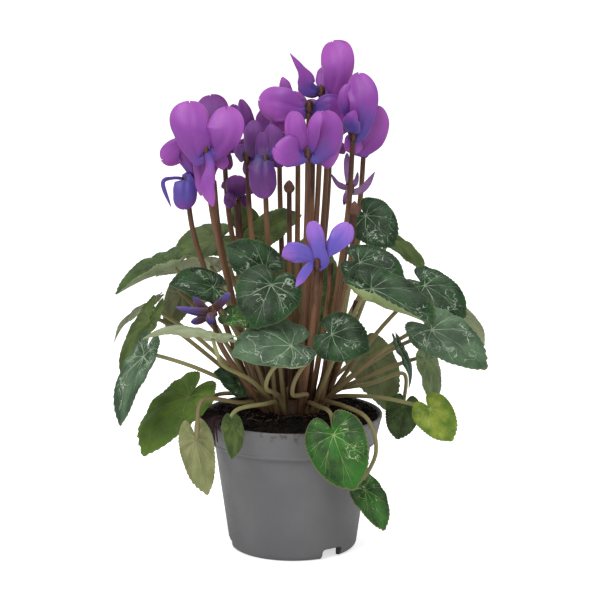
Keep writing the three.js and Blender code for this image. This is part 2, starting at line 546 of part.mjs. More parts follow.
/** A petal: a thin curved blade from the throat along a smooth line, with its own widths, facing one way. */
function makePetal(throat, [root, middle, tip, drawnWidths, turned]) {
  const line = new THREE.CatmullRomCurve3([throat, root, middle, tip].map(seen), false, 'catmullrom', 0.5);
  const widths = [Math.min(PETAL.neck, drawnWidths[0]), ...drawnWidths];
  const turn = THREE.MathUtils.degToRad(turned);
  const facing = vector([Math.sin(turn), -Math.cos(turn), 0]);
  const stations = Math.max(...widths) > PETAL.narrow ? [-1, 0, 1] : [-1, 1];
  const columns = stations.length;
  const lastRow = widths.length - 1;
  const upper = [];
  const lower = [];
  widths.forEach((width, row) => {
    const tangent = line.getTangent(PETAL.rows[row]);
    const side = tangent.clone().cross(facing).normalize();
    const normal = side.clone().cross(tangent).normalize();
    const half = (width * VIEW.step) / 2;
    for (const v of stations) {
      const middlePoint = line.getPoint(PETAL.rows[row]).addScaledVector(side, v * half);
      middlePoint.addScaledVector(normal, -PETAL.cup * half * v * v);
      const lean = normal.clone().addScaledVector(side, (columns - 2) * PETAL.lean * v).normalize();
      upper.push(middlePoint.clone().addScaledVector(lean, PETAL.thickness / 2));
      lower.push(middlePoint.clone().addScaledVector(lean, -PETAL.thickness / 2));
    }
  });
  const front = [];
  for (let row = 0; row < lastRow; row += 1) {
    for (let column = 0; column < columns - 1; column += 1) {
      const a = row * columns + column;
      front.push([a, a + 1, a + columns + 1], [a, a + columns + 1, a + columns]);
    }
  }
  const rim = stations.map((_, column) => column);
  for (let row = 1; row < lastRow; row += 1) rim.push((row + 1) * columns - 1);
  for (let column = columns - 1; column >= 0; column -= 1) rim.push(lastRow * columns + column);
  for (let row = lastRow - 1; row > 0; row -= 1) rim.push(row * columns);
  return facets([...upper, ...lower], closeSheet(front, rim, upper.length));
}

/** A round body, pointed or blunt, turned about an upright line through a place. */
function roundBody(place, radius, height, sides) {
  const profile = [-0.5, -0.3, 0, 0.3, 0.5].map((share) => {
    const r = radius * Math.sqrt(Math.max(0, 1 - 4 * share * share));
    return new THREE.Vector2(r, share * height);
  });
  const body = new THREE.LatheGeometry(profile, sides).rotateX(Math.PI / 2);
  return body.translate(...place.toArray());
}

/** A bloom: five petals and the short throat that they grow from, as one body. */
function makeBloom(bloom) {
  const throat = roundBody(seen(bloom.throat), THROAT.radius, THROAT.height, THROAT.sides);
  return fuse([throat, ...bloom.petals.map((petal) => makePetal(bloom.throat, petal))]);
}

/** Where a flower's stalk runs: up from the crown, upright again under the throat. */
function flowerStalkPoints(top, height) {
  const end = top.clone().add(vector([0, 0, -height / 2 - GAP]));
  const spread = top.clone().multiplyScalar(0.42).setZ(0).clampLength(0, TUBER.radius * 0.8);
  const root = spread.clone().setZ(TUBER.top - STALK.rootDepth);
  const lean = end.clone().sub(root);
  const low = root.clone().add(vector([lean.x * 0.36, lean.y * 0.36, lean.z * 0.3]));
  const high = root.clone().add(vector([lean.x * 0.86, lean.y * 0.86, lean.z * 0.74]));
  return [root, low, high, end];
}

/** The tuber with every flower stalk and leaf stalk that grows from its crown, as one body. */
function makeTuberAndStalks() {
  const centre = vector([0, 0, TUBER.top - TUBER.halfHeight]);
  const tuber = roundBody(centre, TUBER.radius, 2 * TUBER.halfHeight, TUBER.sides);
  const tops = [
    ...BLOOMS.map(({ throat }) => flowerStalkPoints(seen(throat), THROAT.height)),
    ...BUDS.map(({ place, height }) => flowerStalkPoints(vector(place), height)),
    ...SPARE_TOPS.map((top) => flowerStalkPoints(seen(top), 0)),
  ];
  return fuse([
    tuber,
    ...tops.map((points) => stalk(points, STALK.flowerRadius)),
    ...LEAVES.map((leaf) => stalk(leafStalkPoints(leaf), STALK.leafRadius)),
  ]);
}

// ---------------------------------------------------------------- the whole plant

const plant = new THREE.Group();

/** Adds one named piece to the plant. */
function add(name, geometry, tone, roughness) {
  const mesh = new THREE.Mesh(geometry, finish(tone, roughness));
  mesh.name = name;
  plant.add(mesh);
}

add('pot', makePot(), 'pot', 0.5);
add('soil', makeSoil(), 'soil', 0.95);
add('tuber_and_stalks', makeTuberAndStalks(), 'stalk');
for (const leaf of LEAVES) add(`leaf_${leaf.name}`, makeBlade(leaf), leaf.tone ?? 'leaf', 0.55);
for (const bloom of BLOOMS) add(`bloom_${bloom.name}`, makeBloom(bloom), bloom.tone ?? 'petal', 0.5);
for (const bud of BUDS) add(bud.name, roundBody(vector(bud.place), bud.radius, bud.height, 8), 'bud', 0.6);

export default plant;
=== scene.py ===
"""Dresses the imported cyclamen: fine leaves, petals, stalks, soil and pot, under soft studio light."""

import logging  # noqa: E402
import math  # noqa: E402
from dataclasses import dataclass, field  # noqa: E402
from enum import Enum  # noqa: E402
from typing import Optional, Sequence, Union  # noqa: E402

import bpy  # noqa: E402
import numpy as np  # noqa: E402
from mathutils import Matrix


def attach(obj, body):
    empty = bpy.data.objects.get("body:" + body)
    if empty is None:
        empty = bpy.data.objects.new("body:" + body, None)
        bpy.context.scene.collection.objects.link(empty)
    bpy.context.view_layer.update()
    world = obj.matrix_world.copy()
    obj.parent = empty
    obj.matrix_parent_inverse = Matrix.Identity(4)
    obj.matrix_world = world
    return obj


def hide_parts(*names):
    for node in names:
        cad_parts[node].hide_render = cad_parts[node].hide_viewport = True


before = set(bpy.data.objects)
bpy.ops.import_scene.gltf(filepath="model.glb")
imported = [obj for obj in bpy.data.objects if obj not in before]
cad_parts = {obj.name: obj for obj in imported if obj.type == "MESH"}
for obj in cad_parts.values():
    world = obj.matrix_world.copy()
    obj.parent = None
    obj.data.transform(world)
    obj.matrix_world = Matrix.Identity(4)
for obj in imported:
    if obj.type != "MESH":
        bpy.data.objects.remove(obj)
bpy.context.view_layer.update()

log = logging.getLogger("cyclamen")

MM = 0.001
Array = np.ndarray
Point = tuple[float, float, float]
Band = tuple[float, float]
Colour = tuple[float, float, float, float]
Piece = bpy.types.Object
Material = bpy.types.Material
Tree = bpy.types.NodeTree
Node = bpy.types.Node
Socket = bpy.types.NodeSocket
Value = Union[Socket, float, tuple]


# ---- small tools


def tint(code: str) -> Colour:
    """A screen colour such as "#6c6d70" as a scene-linear colour with alpha 1."""
    parts = [int(code[i : i + 2], 16) / 255 for i in (1, 3, 5)]
    return (*[c / 12.92 if c <= 0.04045 else ((c + 0.055) / 1.055) ** 2.4 for c in parts], 1.0)


def unit(vectors: Array) -> Array:
    """Vectors scaled to length 1 along the last axis."""
    return vectors / np.maximum(np.linalg.norm(vectors, axis=-1, keepdims=True), 1e-9)


def smooth_step(low: float, high: float, value: Array) -> Array:
    """A soft step from 0 at low to 1 at high."""
    t = np.clip((value - low) / (high - low), 0.0, 1.0)
    return t * t * (3 - 2 * t)


def circle(sides: int) -> Array:
    """Turns in radians, in equal steps once round."""
    return np.linspace(0, 2 * np.pi, sides, endpoint=False)


def rings(radius: Union[Array, float], turn: Array, height: Union[Array, float]) -> Array:
    """Points on level rings round the upright axis, from radii, turns and heights."""
    return np.stack(np.broadcast_arrays(radius * np.cos(turn), radius * np.sin(turn), height), -1)


def spline(points: Sequence[Point], count: int) -> Array:
    """A smooth line through points.

    Args:
        points: The points, two or more.
        count: How many stations the line gets.

    Returns:
        The stations, count by 3, evenly spaced over the points.
    """
    p = np.asarray(points, float)
    p = np.vstack([2 * p[0] - p[1], p, 2 * p[-1] - p[-2]])
    place = np.linspace(0, len(points) - 1 - 1e-6, count)
    k = place.astype(int)
    t = (place - k)[:, None]
    a, b, c, d = p[k], p[k + 1], p[k + 2], p[k + 3]
    return 0.5 * (2 * b + (c - a) * t + (2 * a - 5 * b + 4 * c - d) * t**2 + (3 * b - a - 3 * c + d) * t**3)


def grid_faces(rows: int, columns: int, closed: bool = False) -> Array:
    """Faces of a grid of points that are numbered row by row.

    Args:
        rows: Rows of points.
        columns: Points in each row.
        closed: Whether the last column is joined to the first.

    Returns:
        The faces, each a row of four indices.
    """
    i, j = np.meshgrid(np.arange(rows - 1), np.arange(columns if closed else columns - 1), indexing="ij")
    i, j = i.ravel(), j.ravel()
    nxt = (j + 1) % columns
    near, far = i * columns, (i + 1) * columns
    return np.stack([near + j, near + nxt, far + nxt, far + j], axis=1)


def fan(centre: int, ring: Array) -> Array:
    """Triangles from one point to each side of a closed ring of points."""
    nxt = np.roll(ring, -1)
    return np.stack([np.full(len(ring), centre), ring, nxt, nxt], axis=1)


def capped_faces(rows: int, sides: int) -> Array:
    """Faces of a stack of rings whose two ends are closed by a point each.

    Args:
        rows: How many rings there are.
        sides: Points in each ring.

    Returns:
        The faces. The two end points are numbered after the rings, the first ring's end before the last's.
    """
    n = rows * sides
    first, last = np.arange(sides)[::-1], np.arange(sides) + n - sides
    return np.vstack([grid_faces(rows, sides, True), fan(n, first), fan(n + 1, last)])


def thin_faces(front: Array, loop: Array, count: int) -> Array:
    """Faces of a thin closed body, from those of its front.

    Args:
        front: The front's faces.
        loop: The points round its edge, in order.
        count: How many points each side has. The back's are numbered after the front's.

    Returns:
        The faces of the front, the back and the rim between them.
    """
    back = front[:, ::-1].copy()
    triangles = front[:, 2] == front[:, 3]
    back[triangles] = front[triangles][:, [0, 2, 1, 1]]
    nxt = np.roll(loop, -1)
    rim = np.stack([loop, loop + count, nxt + count, nxt], 1)
    return np.vstack([front, back + count, rim])


def ring_marks(turn: Array, share: Array) -> Array:
    """The turn and the share of the length at each point of a stack of rings, and then at its two ends."""
    marks = np.stack(np.broadcast_arrays(turn / (2 * np.pi), share[:, None]), -1).reshape(-1, 2)
    return np.vstack([marks, [0.5, 0.0], [0.5, 1.0]])


def tube(line: Array, radii: Array, sides: int) -> tuple[Array, Array, Array]:
    """A round closed tube along a line.

    Args:
        line: Its stations, n by 3.
        radii: The radius at each station.
        sides: Points round the tube.

    Returns:
        Its points, its faces, and for each point the turn and the share of the length.
    """
    along = unit(np.gradient(line, axis=0))
    across = np.empty_like(along)
    across[0] = unit(np.cross(along[0], [0.3, 1.0, 0.1]))
    for i in range(1, len(line)):
        across[i] = unit(across[i - 1] - along[i] * np.dot(across[i - 1], along[i]))
    other = np.cross(along, across)
    turn = circle(sides)
    ring = across[:, None] * np.cos(turn)[None, :, None] + other[:, None] * np.sin(turn)[None, :, None]
    points = (line[:, None] + ring * radii[:, None, None]).reshape(-1, 3)
    marks = ring_marks(turn, np.linspace(0, 1, len(line)))
    return np.vstack([points, line[0], line[-1]]), capped_faces(len(line), sides), marks


@dataclass
class Shape:
    """A mesh in the making: points in millimetres, faces, and what its materials read at each point."""

    points: list[Array] = field(default_factory=list)
    faces: list[Array] = field(default_factory=list)
    slots: list[Array] = field(default_factory=list)
    plane: list[Array] = field(default_factory=list)
    share: list[Array] = field(default_factory=list)

    def add(
        self,
        points: Array,
        faces: Array,
        slots: Union[Array, int] = 0,
        plane: Optional[Array] = None,
        share: Union[Array, Band] = (0.0, 0.0),
    ) -> None:
        """Adds a closed body.

        Args:
            points: Its points, n by 3.
            faces: Its faces as rows of four indices, with the last two the same in a triangle.
            slots: The material index of each face, or one for all.
            plane: Two surface coordinates for each point, or nothing where its material reads none.
            share: Two more values for each point or one pair for all: a share from root to edge, and the
                piece's own number.
        """
        start = sum(len(p) for p in self.points)
        self.points.append(points)
        self.faces.append(faces + start)
        self.slots.append(np.full(len(faces), slots) if np.isscalar(slots) else slots)
        self.plane.append(np.zeros((len(points), 2)) if plane is None else plane)
        self.share.append(np.broadcast_to(share, (len(points), 2)))

    def add_tube(self, line: Array, radii: Array, sides: int, slot: int, own: float) -> None:
        """Adds a round closed tube along a line, with its material's index and a number of its own."""
        points, faces, marks = tube(line, radii, sides)
        self.add(points, faces, slot, marks, (0.0, own))

    def build(self, name: str, materials: Sequence[Material]) -> Piece:
        """Makes the object, in metres, with smooth faces and its two coordinate layers.

        Args:
            name: The piece's name.
            materials: Its materials, in the order of their indices.

        Returns:
            The new object.
        """
        points, faces = np.vstack(self.points) * MM, np.vstack(self.faces)
        rows = [f[:3] if f[2] == f[3] else f for f in faces.tolist()]
        mesh = bpy.data.meshes.new(name)
        mesh.from_pydata(points.tolist(), [], rows)
        corner = np.zeros(len(mesh.loops), int)
        mesh.loops.foreach_get("vertex_index", corner)
        for title, values in (("plane", self.plane), ("share", self.share)):
            layer = mesh.uv_layers.new(name=title)
            layer.data.foreach_set("uv", np.vstack(values)[corner].astype(np.float32).ravel())
        for material in materials:
            mesh.materials.append(material)
        mesh.polygons.foreach_set("material_index", np.concatenate(self.slots).astype(np.int32))
        mesh.polygons.foreach_set("use_smooth", np.ones(len(rows), bool))
        mesh.update()
        piece = bpy.data.objects.new(name, mesh)
        bpy.context.scene.collection.objects.link(piece)
        return piece


# ---- shader tools


class Graph:
    """Short ways to add and join nodes in one shader tree."""

    def __init__(self, tree: Tree) -> None:
        """Keeps the tree that the nodes go into."""
        self.tree = tree

    def add(self, kind: str, **settings: object) -> Node:
        """Adds a node.

        Args:
            kind: Its kind, without the word ShaderNode.
            settings: Its options by name.

        Returns:
            The node.
        """
        node = self.tree.nodes.new("ShaderNode" + kind)
        for key, value in settings.items():
            setattr(node, key, value)
        return node

    def feed(self, socket: Socket, value: Value) -> None:
        """Gives a socket its value.

        Args:
            socket: The socket of a node.
            value: Another socket to link it to, or a value of its own.
        """
        if isinstance(value, Socket):
            self.tree.links.new(value, socket)
        else:
            socket.default_value = value

    def fill(self, node: Node, *values: Value) -> Node:
        """Feeds a node's first inputs.

        Args:
            node: The node.
            values: What its inputs get, in their order.

        Returns:
            The node.
        """
        for socket, value in zip(node.inputs, values):
            self.feed(socket, value)
        return node

    def wire(self, node: Node, **inputs: Value) -> Node:
        """Feeds a node's inputs by name.

        Args:
            node: The node.
            inputs: What its inputs get. A name has _ for each space.

        Returns:
            The node.
        """
        for key, value in inputs.items():
            self.feed(node.inputs[key.replace("_", " ")], value)
        return node

    def math(self, operation: str, *values: Value) -> Socket:
        """One arithmetic step."""
        return self.fill(self.add("Math", operation=operation), *values).outputs[0]

    def plus(self, first: Value, second: Value) -> Socket:
        """The sum of two values."""
        return self.math("ADD", first, second)

    def minus(self, first: Value, second: Value) -> Socket:
        """The first value less the second."""
        return self.math("SUBTRACT", first, second)

    def times(self, first: Value, second: Value) -> Socket:
        """The product of two values."""
        return self.math("MULTIPLY", first, second)

    def mix(self, factor: Value, first: Value, second: Value) -> Socket:
        """Mixes two colours.

        Args:
            factor: The second colour's share, from 0 to 1.
            first: The first colour.
            second: The second colour.

        Returns:
            The mixed colour.
        """
        node = self.add("Mix", data_type="RGBA")
        for index, value in ((0, factor), (6, first), (7, second)):
            self.feed(node.inputs[index], value)
        return node.outputs[2]

    def cover(self, colour: Value, code: str, mask: Value, strength: Optional[float] = None) -> Socket:
        """Lays a screen colour over another where a mask says, in full or with a strength."""
        share = mask if strength is None else self.times(mask, strength)
        return self.mix(share, colour, tint(code))

    def step(self, value: Value, low: Value, high: Value, start: float = 0.0, end: float = 1.0) -> Socket:
        """A soft step of a value from low to high, given out from start to end."""
        node = self.add("MapRange", interpolation_type="SMOOTHSTEP")
        return self.fill(node, value, low, high, start, end).outputs[0]

    def noise(self, vector: Value, scale: Value, detail: float = 2.0, distortion: float = 0.0) -> Socket:
        """Noise from 0 to 1 at a vector."""
        node = self.wire(self.add("TexNoise"), Vector=vector, Scale=scale, Detail=detail)
        return self.wire(node, Distortion=distortion).outputs["Fac"]

    def cells(self, vector: Value, scale: Value) -> Socket:
        """Distance to the nearest border of a net of cells."""
        node = self.add("TexVoronoi", feature="DISTANCE_TO_EDGE")
        return self.wire(node, Vector=vector, Scale=scale).outputs["Distance"]

    def join(self, x: Value, y: Value, z: Value) -> Socket:
        """A vector from its three parts."""
        return self.fill(self.add("CombineXYZ"), x, y, z).outputs[0]

    def split(self, vector: Value) -> tuple[Socket, ...]:
        """The three parts of a vector."""
        return tuple(self.fill(self.add("SeparateXYZ"), vector).outputs)

    def layer(self, title: str) -> Socket:
        """A coordinate layer of the mesh."""
        return self.add("UVMap", uv_map=title).outputs[0]

    def place(self) -> Socket:
        """The place on the object, in metres."""
        return self.add("TexCoord").outputs["Object"]

    def group(self, tree: Tree, **inputs: Value) -> Node:
        """A node group with its inputs set by name, with _ for a space."""
        return self.wire(self.add("Group", node_tree=tree), **inputs)


Sockets = dict[str, Socket]


def new_group(name: str, inputs: dict[str, str], outputs: Sequence[str]) -> tuple[Graph, Sockets, Sockets]:
    """Makes an empty shader node group.

    Args:
        name: Its name.
        inputs: Input names with their kinds, "Float" or "Vector".
        outputs: Names of its outputs, each a value.

    Returns:
        The graph to fill, its input sockets and its output sockets, by name.
    """
    tree = bpy.data.node_groups.new(name, "ShaderNodeTree")
    for title, kind in inputs.items():
        tree.interface.new_socket(title, in_out="INPUT", socket_type="NodeSocket" + kind)
    for title in outputs:
        tree.interface.new_socket(title, in_out="OUTPUT", socket_type="NodeSocketFloat")
    source = tree.nodes.new("NodeGroupInput")
    target = tree.nodes.new("NodeGroupOutput")
    given = {socket.name: socket for socket in source.outputs if socket.name}
    return Graph(tree), given, {socket.name: socket for socket in target.inputs if socket.name}


@dataclass(frozen=True)
class Mottle:
    """Uneven tone at two scales: broad clouds and fine grain."""

    grain_scale: float = 9.0
    cloud_detail: float = 3.0
    grain_detail: float = 4.0

    def tree(self) -> Tree:
        """Makes the node group.

        Returns:
            The group, with the outputs Clouds and Grain.
        """
        graph, given, out = new_group("mottle", {"Place": "Vector", "Scale": "Float"}, ["Clouds", "Grain"])
        graph.feed(out["Clouds"], graph.noise(given["Place"], given["Scale"], self.cloud_detail))
        fine = graph.times(given["Scale"], self.grain_scale)
        graph.feed(out["Grain"], graph.noise(given["Place"], fine, self.grain_detail))
        return graph.tree


@dataclass(frozen=True)
class BladeMarks:
    """The marks on a blade: forked palmate veins, a fine net, silver patches, the silver zone and the margin.

    A band is the low and the high end of a soft step. Where the high end is the smaller one, the step falls.
    """

    spread: float = 0.74  # angle from the midrib to the first side vein, in radians
    power: float = 1.05  # how the angles grow from vein to vein
    lean: float = 0.2  # how far the veins bend to the point
    # Each row: where its veins start, how fast they spread from the main vein, and their weight.
    forks: tuple[Point, ...] = ((0.0, 0.0, 1.0), (0.36, 0.5, 0.7), (0.62, 0.85, 0.45))
    waver_scale: float = 3.2
    waver: float = 0.42
    straight: float = 0.5  # angle within which the waver fades to the midrib
    taper: float = 1.25
    core: float = 0.35  # the share of a vein's width that is full
    gap_scale: float = 5.5
    gap_band: Band = (0.36, 0.56)
    gap_tone: float = 0.45
    fade_band: Band = (1.0, 0.84)
    net_scale: float = 15.0
    net_line: float = 0.09
    swirl: Point = (2.4, 4.6, 13.0)  # change across the veins, along them, and from leaf to leaf
    flake_scale: float = 1.9
    flake_twist: float = 0.9
    flake_band: Band = (0.68, 0.72)
    flake_tone: float = 0.5
    thread_scale: float = 3.6
    thread_twist: float = 1.4
    thread_band: Band = (0.019, 0.006)
    area_scale: float = 2.3
    area_band: Band = (0.47, 0.57)
    patch_inner: Band = (0.22, 0.4)
    patch_outer: Band = (0.92, 0.76)
    zone_waver: float = 0.35
    zone_inner: Band = (0.22, 0.5)
    zone_outer: Band = (0.84, 0.7)
    margin_band: Band = (0.955, 0.99)

    def tree(self) -> Tree:
        """Makes the node group.

        Returns:
            The group, with the outputs Vein, Net, Patch, Zone and Margin.
        """
        inputs = {"Plane": "Vector", "Share": "Float", "Seed": "Float", "Width": "Float"}
        graph, given, out = new_group("blade marks", inputs, ["Vein", "Net", "Patch", "Zone", "Margin"])
        x, y, _ = graph.split(given["Plane"])
        share, seed = given["Share"], given["Seed"]
        spot = graph.join(x, y, graph.times(seed, 7.0))
        waver = graph.minus(graph.noise(spot, self.waver_scale), 0.5)
        # The order is a number that is whole on a vein: 0 on the midrib, 1 on the first vein to each side.
        angle = graph.math("ABSOLUTE", graph.math("ARCTAN2", y, x))
        bent = graph.times(angle, graph.plus(1.0, graph.times(share, self.lean)))
        bent = graph.plus(bent, graph.times(waver, graph.step(angle, 0.0, self.straight, 0.0, self.waver)))
        bent = graph.math("MAXIMUM", bent, 0.0)
        order = graph.math("POWER", graph.math("DIVIDE", bent, self.spread), 1 / self.power)
        off = graph.math("ABSOLUTE", graph.minus(order, graph.math("ROUND", order)))
        reach = graph.math("SQRT", graph.plus(graph.times(x, x), graph.times(y, y)))
        width = graph.times(given["Width"], graph.minus(self.taper, share))
        # Every vein has two pairs of forks, which leave it further out and are thinner.
        vein = None
        for start, spread, weight in self.forks:
            past = graph.math("MAXIMUM", graph.minus(share, start), 0.0)
            gap = graph.math("ABSOLUTE", graph.minus(off, graph.times(past, spread)))
            arc = graph.times(graph.times(gap, self.spread), reach)
            near = graph.step(arc, graph.times(width, weight), graph.times(width, self.core * weight))
            begun = graph.step(share, start - 0.01, start + 0.02) if start else 1.0
            line = graph.times(graph.times(near, begun), weight)
            vein = line if vein is None else graph.math("MAXIMUM", vein, line)
        broken = graph.step(graph.noise(spot, self.gap_scale), *self.gap_band, self.gap_tone, 1.0)
        graph.feed(out["Vein"], graph.times(graph.times(vein, broken), graph.step(share, *self.fade_band)))
        net = graph.cells(graph.join(x, y, seed), self.net_scale)
        graph.feed(out["Net"], graph.step(net, self.net_line, 0.0))
        # Silver flakes follow the veins. Silver threads wind about in parts of the blade.
        across, along, apart = self.swirl
        swirl = graph.join(graph.times(order, across), graph.times(share, along), graph.times(seed, apart))
        flakes = graph.noise(swirl, self.flake_scale, 3.0, self.flake_twist)
        flakes = graph.step(flakes, *self.flake_band, 0.0, self.flake_tone)
        winding = graph.minus(graph.noise(spot, self.thread_scale, 2.0, self.thread_twist), 0.5)
        thread = graph.step(graph.math("ABSOLUTE", winding), *self.thread_band)
        area = graph.noise(graph.join(y, x, graph.times(seed, 3.0)), self.area_scale, 1.0)
        silver = graph.math("MAXIMUM", flakes, graph.times(thread, graph.step(area, *self.area_band)))
        ring = graph.times(graph.step(share, *self.patch_inner), graph.step(share, *self.patch_outer))
        graph.feed(out["Patch"], graph.times(silver, ring))
        edge = graph.plus(share, graph.times(waver, self.zone_waver))
        zone = graph.times(graph.step(edge, *self.zone_inner), graph.step(edge, *self.zone_outer))
        graph.feed(out["Zone"], zone)
        graph.feed(out["Margin"], graph.step(share, *self.margin_band))
        return graph.tree


MARKS = BladeMarks()
BLADE_MARKS = MARKS.tree()
MOTTLE = Mottle().tree()
EVEN: Band = (0.3, 0.7)  # the middle of what noise gives


def new_material(name: str) -> tuple[Material, Graph, Node]:
    """An empty material with one Principled shader.

    Args:
        name: Its name.

    Returns:
        The material, its graph and its shader node.
    """
    material = bpy.data.materials.new(name)
    material.use_nodes = True
    return material, Graph(material.node_tree), material.node_tree.nodes["Principled BSDF"]


def emboss(graph: Graph, shader: Node, height: Socket, strength: float, depth: float) -> None:
    """Feeds a height into the shader's normal, with the bump's strength and its depth in metres."""
    bump = graph.wire(graph.add("Bump"), Strength=strength, Distance=depth, Height=height)
    graph.feed(shader.inputs["Normal"], bump.outputs[0])


def blade_masks(graph: Graph, vein_width: float, cloud_scale: float) -> Sockets:
    """What a leaf's finish reads from its blade.

    Args:
        graph: The material's graph.
        vein_width: The midrib's width at the joint, in leaf lengths.
        cloud_scale: The scale of the clouds.

    Returns:
        The outputs of the two node groups by name.
    """
    x, y, _ = graph.split(graph.layer("plane"))
    share, seed, _ = graph.split(graph.layer("share"))
    marks = graph.group(BLADE_MARKS, Plane=graph.join(x, y, 0.0), Share=share, Seed=seed, Width=vein_width)
    tones = graph.group(MOTTLE, Place=graph.join(x, y, seed), Scale=cloud_scale)
    return {socket.name: socket for node in (marks, tones) for socket in node.outputs}


@dataclass(frozen=True)
class LeafFace:
    """The upper face of a leaf: green with silver marbling and pale veins."""

    darker: str
    lit: str
    silver: str
    vein: str
    margin: str = "#8b986a"
    marbling: float = 1.0
    vein_tone: float = 0.6
    margin_tone: float = 0.2
    vein_width: float = 0.011
    cloud_scale: float = 3.0
    zone_tone: float = 0.03
    net_tone: float = 0.04
    patch_tone: float = 0.72
    gloss: Band = (0.34, 0.48)
    vein_depth: float = 1.4
    net_depth: float = 0.5
    shine: float = 0.22

    def material(self, name: str) -> Material:
        """Makes the material.

        Args:
            name: Its name.

        Returns:
            The material.
        """
        material, graph, shader = new_material(name)
        on = blade_masks(graph, self.vein_width, self.cloud_scale)
        colour = graph.mix(graph.step(on["Clouds"], *EVEN), tint(self.darker), tint(self.lit))
        colour = graph.cover(colour, self.silver, on["Zone"], self.zone_tone * self.marbling)
        colour = graph.cover(colour, self.silver, on["Net"], self.net_tone)
        colour = graph.cover(colour, self.silver, on["Patch"], self.patch_tone * self.marbling)
        colour = graph.cover(colour, self.vein, on["Vein"], self.vein_tone)
        colour = graph.cover(colour, self.margin, on["Margin"], self.margin_tone)
        rough = graph.step(on["Grain"], *EVEN, *self.gloss)
        graph.wire(shader, Base_Color=colour, Roughness=rough, Specular_IOR_Level=self.shine)
        height = graph.minus(on["Grain"], graph.times(on["Vein"], self.vein_depth))
        height = graph.minus(height, graph.times(on["Net"], self.net_depth))
        emboss(graph, shader, height, 0.5, 0.3 * MM)
        return material


@dataclass(frozen=True)
class LeafBack:
    """The underside of a leaf: pale, dull green with raised veins."""

    body: str
    shade: str
    vein: str
    vein_width: float = 0.03
    cloud_scale: float = 3.5
    net_tone: float = 0.15
    vein_tone: float = 0.5
    gloss: Band = (0.5, 0.65)
    vein_height: float = 2.0

    def material(self, name: str) -> Material:
        """Makes the material.

        Args:
            name: Its name.

        Returns:
            The material.
        """
        material, graph, shader = new_material(name)
        on = blade_masks(graph, self.vein_width, self.cloud_scale)
        colour = graph.mix(graph.step(on["Clouds"], *EVEN), tint(self.shade), tint(self.body))
        colour = graph.cover(colour, self.shade, on["Net"], self.net_tone)
        colour = graph.cover(colour, self.vein, on["Vein"], self.vein_tone)
        graph.wire(shader, Base_Color=colour, Roughness=graph.step(on["Grain"], *EVEN, *self.gloss))
        height = graph.plus(on["Grain"], graph.times(on["Vein"], self.vein_height))
        emboss(graph, shader, height, 0.5, 0.4 * MM)
        return material


@dataclass(frozen=True)
class PetalSkin:
    """Velvety petal: a bluish base, a violet body and a paler rim, with fine lengthwise streaks."""

    name: str
    base: str
    body: str
    tip: str
    streak: str
    cloud_scale: float = 2.4
    cloud_shift: float = 0.5  # how far clouds move the colours along the petal
    own_shift: float = 0.5  # how far the petal's own number does
    blue_shift: float = 0.75  # how far a full blue base does; the blue base is partly the petal's own colour and partly painted shade
    body_band: Band = (0.08, 0.54)
    tip_band: Band = (0.55, 1.05)
    rim_band: Band = (0.82, 1.0)
    rim_tone: float = 0.35
    streak_band: Band = (0.48, 0.72)
    streak_tone: float = 0.22
    gloss: Band = (0.42, 0.56)

    def material(self) -> Material:
        """Makes the material.

        Returns:
            The material.
        """
        material, graph, shader = new_material(self.name)
        across, share, _ = graph.split(graph.layer("plane"))
        blue, seed, _ = graph.split(graph.layer("share"))
        place = graph.join(graph.times(across, 0.6), share, graph.times(seed, 5.0))
        tones = graph.group(MOTTLE, Place=place, Scale=self.cloud_scale)
        along = graph.plus(share, graph.times(graph.minus(tones.outputs["Clouds"], 0.5), self.cloud_shift))
        own = graph.noise(graph.join(seed, seed, 3.0), 1.7, 0.0)
        along = graph.plus(along, graph.times(graph.minus(own, 0.5), self.own_shift))
        # More blue base on petals that hang low and on those that sit back: partly own colour, partly painted
        # shade.
        along = graph.minus(along, graph.times(blue, self.blue_shift))
        colour = graph.mix(graph.step(along, *self.body_band), tint(self.base), tint(self.body))
        colour = graph.cover(colour, self.tip, graph.step(along, *self.tip_band))
        rim = graph.step(graph.math("ABSOLUTE", across), *self.rim_band, 0.0, self.rim_tone)
        colour = graph.cover(colour, self.tip, rim)
        lines = graph.noise(graph.join(graph.times(across, 9.0), share, seed), 2.2, 3.0)
        streaks = graph.step(lines, *self.streak_band, 0.0, self.streak_tone)
        streaks = graph.times(streaks, graph.step(share, 0.95, 0.2, 0.35, 1.0))
        colour = graph.cover(colour, self.streak, streaks)
        rough = graph.step(tones.outputs["Grain"], *EVEN, *self.gloss)
        graph.wire(shader, Base_Color=colour, Roughness=rough)
        graph.wire(shader, Subsurface_Weight=0.12, Subsurface_Scale=3 * MM)
        graph.wire(shader, Sheen_Weight=0.1, Sheen_Roughness=0.4)
        emboss(graph, shader, graph.plus(graph.times(lines, 0.8), tones.outputs["Grain"]), 0.35, 0.3 * MM)
        return material


